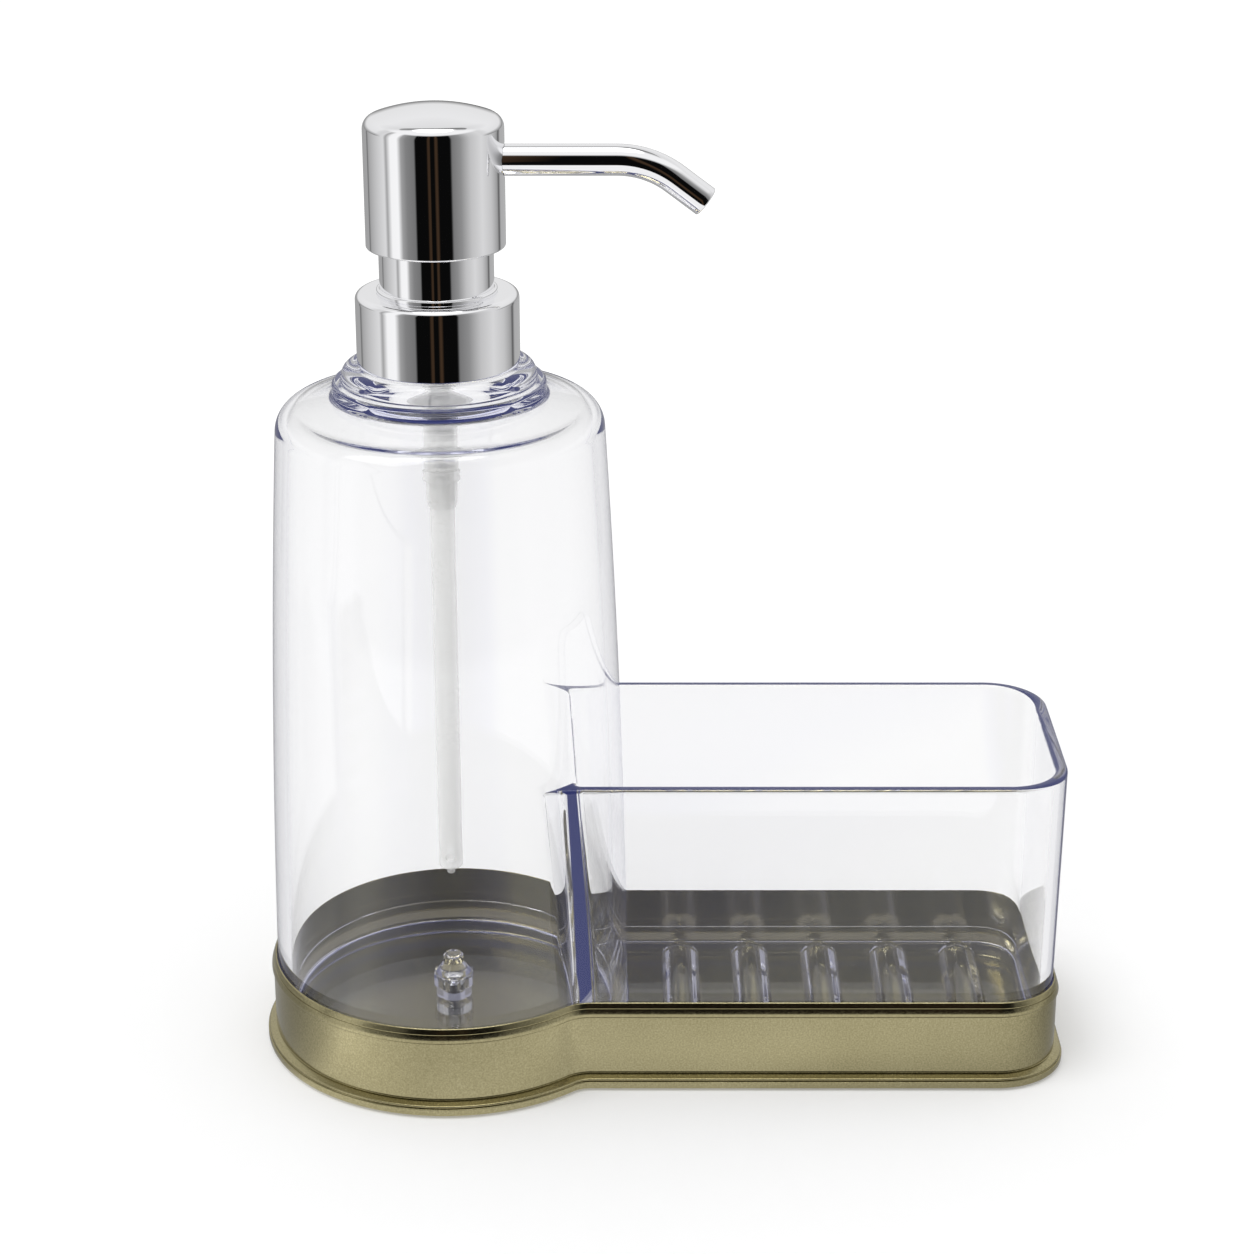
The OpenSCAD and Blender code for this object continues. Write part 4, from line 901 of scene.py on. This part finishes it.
# CAD nodes that stay
nodeLooks = {"base_screw": steel, "screw_washer": steel, "collar_liner": white, "neck_gasket": sealGrey,
             "pump_housing": frosted, "stem_guide": white, "inlet_seat": frosted, "ball_cage": frosted,
             "inlet_ball": steel, "stem": white, "piston": sealGrey, "outlet_ball": steel, "actuator": white}
for name, look in nodeLooks.items():
    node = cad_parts[name]
    node.data.materials.clear()
    node.data.materials.append(look)
print("tubes and inner parts made")

# Studio
# cameraLift grows from whiteFrom to whiteTo, which paints shade on the floor near the object
studio = {"floorHalf": 6.0, "floorLift": 0.18, "cameraLift": 0.20, "whiteFrom": 0.08, "whiteTo": 0.60,
          "paper": (0.80, 0.80, 0.80, 1), "glossNear": 0.38, "throughNear": 0.04, "nearEdge": 0.015,
          "nearShare": 0.80,
          "worldDiffuse": 0.80, "throughLevel": 0.93, "overhead": (0.95, 0.95, 0.95, 1), "overheadFrom": 0.62,
          "overheadTo": 0.74, "panelFrom": 0.950, "panelTo": 0.965, "panelGain": 2.4, "throughGain": 2.0,
          "lampPlace": (-0.7, -0.5, 1.3), "lampAim": (0.05, 0, 0.06), "lampSize": 1.1, "lampPower": 9.0}
photo = {"width": 1254, "focalPixels": 2921.051, "sensor": 36.0, "place": (0.040035, -0.598411, 0.335976),
         "down": 21.602}
# what chrome sees round the object: (share of the whole turn from the back, grey)
sides = [(0.000, 0.10), (0.030, 0.36), (0.125, 0.38), (0.135, 0.14), (0.150, 0.38), (0.265, 0.74),
         (0.280, 0.36), (0.305, 0.96), (0.340, 0.98), (0.360, 0.36), (0.385, 0.23), (0.423, 0.18),
         (0.428, 0.003), (0.480, 0.003), (0.485, 0.038), (0.492, 0.038), (0.496, 0.003), (0.512, 0.003),
         (0.518, 0.042), (0.525, 0.042), (0.530, 0.003), (0.585, 0.003), (0.592, 0.19), (0.630, 0.28),
         (0.680, 0.56), (0.740, 0.72), (0.800, 0.58), (0.850, 0.34), (0.865, 0.09), (0.885, 0.43),
         (0.965, 0.46), (1.0, 0.10)]
# greys between these two are a warm brown, and this is its colour for a grey of 1
warmGreys, warmTone = (0.02, 0.06), (1.2, 0.7, 0.4)
# painted reflection: what shiny surfaces see of the floor close by, on the same turn, with a painted
# highlight at the left front and painted shade at the sides and back, and how it darkens towards the back
paintedNearSides = [(0.00, 0.60), (0.28, 0.50), (0.33, 0.80), (0.365, 1.35), (0.41, 1.12), (0.47, 0.90),
             (0.60, 0.93), (0.67, 1.0), (0.70, 0.75), (0.73, 0.55), (1.0, 0.60)]
paintedNearDepth = [(0.18, 1.0), (0.27, 1.1), (0.34, 0.85), (0.42, 0.60), (0.50, 0.48), (1.0, 0.42)]
# by height: what shows behind the object, and how strong the painted edge shade is for light that comes up
# out of the plastic
backRise = [(0.0, 0.28), (0.06, 0.42), (0.20, 0.80), (0.60, 0.86), (0.860, 0.74), (0.875, 0.22),
            (0.935, 0.20), (0.955, 0.97), (1.0, 0.97)]
paintedEdgeRise = [(0.0, 1.0), (0.10, 1.0), (0.24, 0.46), (0.66, 0.40), (0.86, 0.85), (1.0, 1.0)]
# painted shade on the clear plastic's edges: round the object again, what light that leaves the clear plastic
# after a bounce inside it sees, pale at the back and sides, violet to near black towards the front
pale, violet = (0.92, 0.92, 0.93), (0.40, 0.40, 0.62)
deepViolet, nearBlack = (0.12, 0.12, 0.28), (0.03, 0.03, 0.06)
edges = [(0.00, pale), (0.38, pale), (0.41, violet), (0.45, deepViolet), (0.485, nearBlack),
         (0.515, nearBlack), (0.55, deepViolet), (0.59, violet), (0.62, pale)]


def greys(stops):
    return [(at, (level, level, level)) for at, level in stops]


def sideGroup(name, stops):
    # takes a direction or a place on the floor and puts out the colour of the studio's side there
    group = bpy.data.node_groups.new(name, "ShaderNodeTree")
    group.interface.new_socket(name="Vector", in_out="INPUT", socket_type="NodeSocketVector")
    group.interface.new_socket(name="Color", in_out="OUTPUT", socket_type="NodeSocketColor")
    vector = group.nodes.new("NodeGroupInput").outputs[0]
    x, y, _ = addNode(group, "ShaderNodeSeparateXYZ", {0: vector}).outputs
    turn = mathNode(group, "ARCTAN2", x, mathNode(group, "MULTIPLY", y, -1.0))
    share = mathNode(group, "ADD", mathNode(group, "DIVIDE", turn, 2 * math.pi), 0.5)
    addNode(group, "NodeGroupOutput", {0: rampNode(group, share, stops)})
    return group


def sideColour(tree, group, vector):
    return addNode(tree, "ShaderNodeGroup", {0: vector}, node_tree=group).outputs[0]


def glowNode(tree, kind, colour, strength=1.0):
    return addNode(tree, kind, {"Color": colour, "Strength": strength})


def mixShader(tree, share, first, second):
    return addNode(tree, "ShaderNodeMixShader", {0: share, 1: first, 2: second}).outputs[0]


def rayKinds(tree):
    # camera rays, straight through the plastic, mirrored once, and bounced inside the plastic
    path = addNode(tree, "ShaderNodeLightPath").outputs
    through = path["Is Transmission Ray"]
    mirrored = mathNode(tree, "SUBTRACT", path["Is Glossy Ray"], through, clamp=True)
    bounced = mathNode(tree, "MULTIPLY", through, mathNode(tree, "GREATER_THAN", path["Glossy Depth"], 0.5))
    return path["Is Camera Ray"], through, mirrored, bounced


studioSides = sideGroup("studioSides", [
    (at, tuple(grey * tone for tone in (warmTone if warmGreys[0] < grey < warmGreys[1] else (1, 1, 1))))
    for at, grey in sides])
paintedEdgeShade = sideGroup("paintedEdgeShade", edges)
paintedNearFloor = sideGroup("paintedNearFloor", greys(paintedNearSides))


def studioFloor():
    s, half = studio, studio["floorHalf"]
    corners = [(-half, -half, 0), (half, -half, 0), (half, half, 0), (-half, half, 0)]
    floor = meshFrom("studioFloor", corners, [(0, 1, 2, 3)])
    material = bpy.data.materials.new("paleFloor")
    material.use_nodes = True
    tree = material.node_tree
    tree.nodes.remove(tree.nodes["Principled BSDF"])
    camera, _, mirrored, bounced = rayKinds(tree)
    place = addNode(tree, "ShaderNodeTexCoord").outputs["Object"]
    reach = addNode(tree, "ShaderNodeVectorMath", {0: place}, operation="LENGTH").outputs["Value"]
    far, farThrough = [rangeNode(tree, reach, near - s["nearEdge"], near + s["nearEdge"])
                       for near in (s["glossNear"], s["throughNear"])]
    # the paper, which goes to white away from the object: its glow for camera rays grows with the distance
    # from it, so the real shadow near the object is deepened by painted shade
    outer = rangeNode(tree, reach, s["whiteFrom"], s["whiteTo"])
    lift = mathNode(tree, "MULTIPLY", mathNode(tree, "MULTIPLY", camera, outer), s["cameraLift"])
    paper = addNode(tree, "ShaderNodeBsdfDiffuse", {"Color": s["paper"]})
    glow = glowNode(tree, "ShaderNodeEmission", (1, 1, 1, 1), mathNode(tree, "ADD", lift, s["floorLift"]))
    both = addNode(tree, "ShaderNodeAddShader", {0: paper, 1: glow})
    # painted reflection: in place of the floor close by, shiny surfaces see a glow with painted shade beside
    # and behind the object and a painted highlight at its left front
    y = addNode(tree, "ShaderNodeSeparateXYZ", {0: place}).outputs[1]
    depth = mathNode(tree, "ADD", mathNode(tree, "MULTIPLY", y, 5.0), 0.5)
    paintedNearGlow = glowNode(tree, "ShaderNodeEmission", rampNode(tree, depth, greys(paintedNearDepth)),
                        sideColour(tree, paintedNearFloor, place))
    near = mixShader(tree, mathNode(tree, "MULTIPLY", mirrored, s["nearShare"]), both, paintedNearGlow)
    # the far floor has the studio's sides on it
    ring = glowNode(tree, "ShaderNodeEmission", sideColour(tree, studioSides, place))
    first = mixShader(tree, mathNode(tree, "MULTIPLY", far, mirrored), near, ring)
    # painted shade on the clear plastic's edges: light that has bounced inside the clear plastic before it
    # comes out sees violet to near black on the floor
    edge = glowNode(tree, "ShaderNodeEmission", sideColour(tree, paintedEdgeShade, place))
    second = mixShader(tree, mathNode(tree, "MULTIPLY", bounced, farThrough), first, edge)
    tree.links.new(second, tree.nodes["Material Output"].inputs["Surface"])
    floor.data.materials.append(material)


def studioWorld():
    s = studio
    world = bpy.data.worlds.new("studioWorld")
    bpy.context.scene.world = world
    world.use_nodes = True
    tree = world.node_tree
    tree.nodes.clear()
    camera, passed, mirrored, bounced = rayKinds(tree)
    place = addNode(tree, "ShaderNodeTexCoord").outputs["Generated"]
    _, y, z = addNode(tree, "ShaderNodeSeparateXYZ", {0: place}).outputs
    # camera rays see white, straight-through rays a little less, diffuse rays the plain light level
    seen = mathNode(tree, "MULTIPLY", camera, 1.0 - s["worldDiffuse"])
    behind = mathNode(tree, "MULTIPLY", passed, s["throughLevel"] - s["worldDiffuse"])
    level = mathNode(tree, "ADD", mathNode(tree, "MAXIMUM", seen, behind), s["worldDiffuse"])
    plain = glowNode(tree, "ShaderNodeBackground", (1, 1, 1, 1), level)
    # gloss sees the studio's sides, white overhead with a bright panel in it, and the back
    top = mixColour(tree, rangeNode(tree, z, s["overheadFrom"], s["overheadTo"]),
                    sideColour(tree, studioSides, place), s["overhead"])
    back = mixColour(tree, mathNode(tree, "MULTIPLY", y, 4.0, clamp=True), top,
                     rampNode(tree, z, greys(backRise)))
    panel = rangeNode(tree, z, s["panelFrom"], s["panelTo"], s["panelGain"])
    gloss = glowNode(tree, "ShaderNodeBackground", back, mathNode(tree, "ADD", panel, 1.0))
    first = mixShader(tree, mirrored, plain, gloss)
    # painted shade on the clear plastic's edges: light bounced inside it sees violet to near black round the
    # world too
    rise = mathNode(tree, "ADD", rampNode(tree, z, greys(paintedEdgeRise)),
                    mathNode(tree, "MULTIPLY", panel, s["throughGain"]))
    edge = glowNode(tree, "ShaderNodeBackground", sideColour(tree, paintedEdgeShade, place), rise)
    addNode(tree, "ShaderNodeOutputWorld", {"Surface": mixShader(tree, bounced, first, edge)})


def studioLamp():
    data = bpy.data.lights.new("softLamp", "AREA")
    data.shape, data.size, data.energy = "SQUARE", studio["lampSize"], studio["lampPower"]
    lamp = bpy.data.objects.new("softLamp", data)
    bpy.context.scene.collection.objects.link(lamp)
    lamp.location = studio["lampPlace"]
    aim = Vector(studio["lampAim"]) - lamp.location
    lamp.rotation_euler = aim.to_track_quat("-Z", "Y").to_euler()
    lamp.visible_glossy = False


def studioCamera():
    data = bpy.data.cameras.new("photoCamera")
    data.sensor_width, data.lens = photo["sensor"], photo["focalPixels"] / photo["width"] * photo["sensor"]
    camera = bpy.data.objects.new("photoCamera", data)
    bpy.context.scene.collection.objects.link(camera)
    camera.location = photo["place"]
    camera.rotation_euler = (math.radians(90 - photo["down"]), 0, 0)
    bpy.context.scene.camera = camera


studioFloor()
studioWorld()
studioLamp()
studioCamera()
bpy.context.scene.view_settings.view_transform = "Standard"
print("studio made")

bpy.context.view_layer.update()
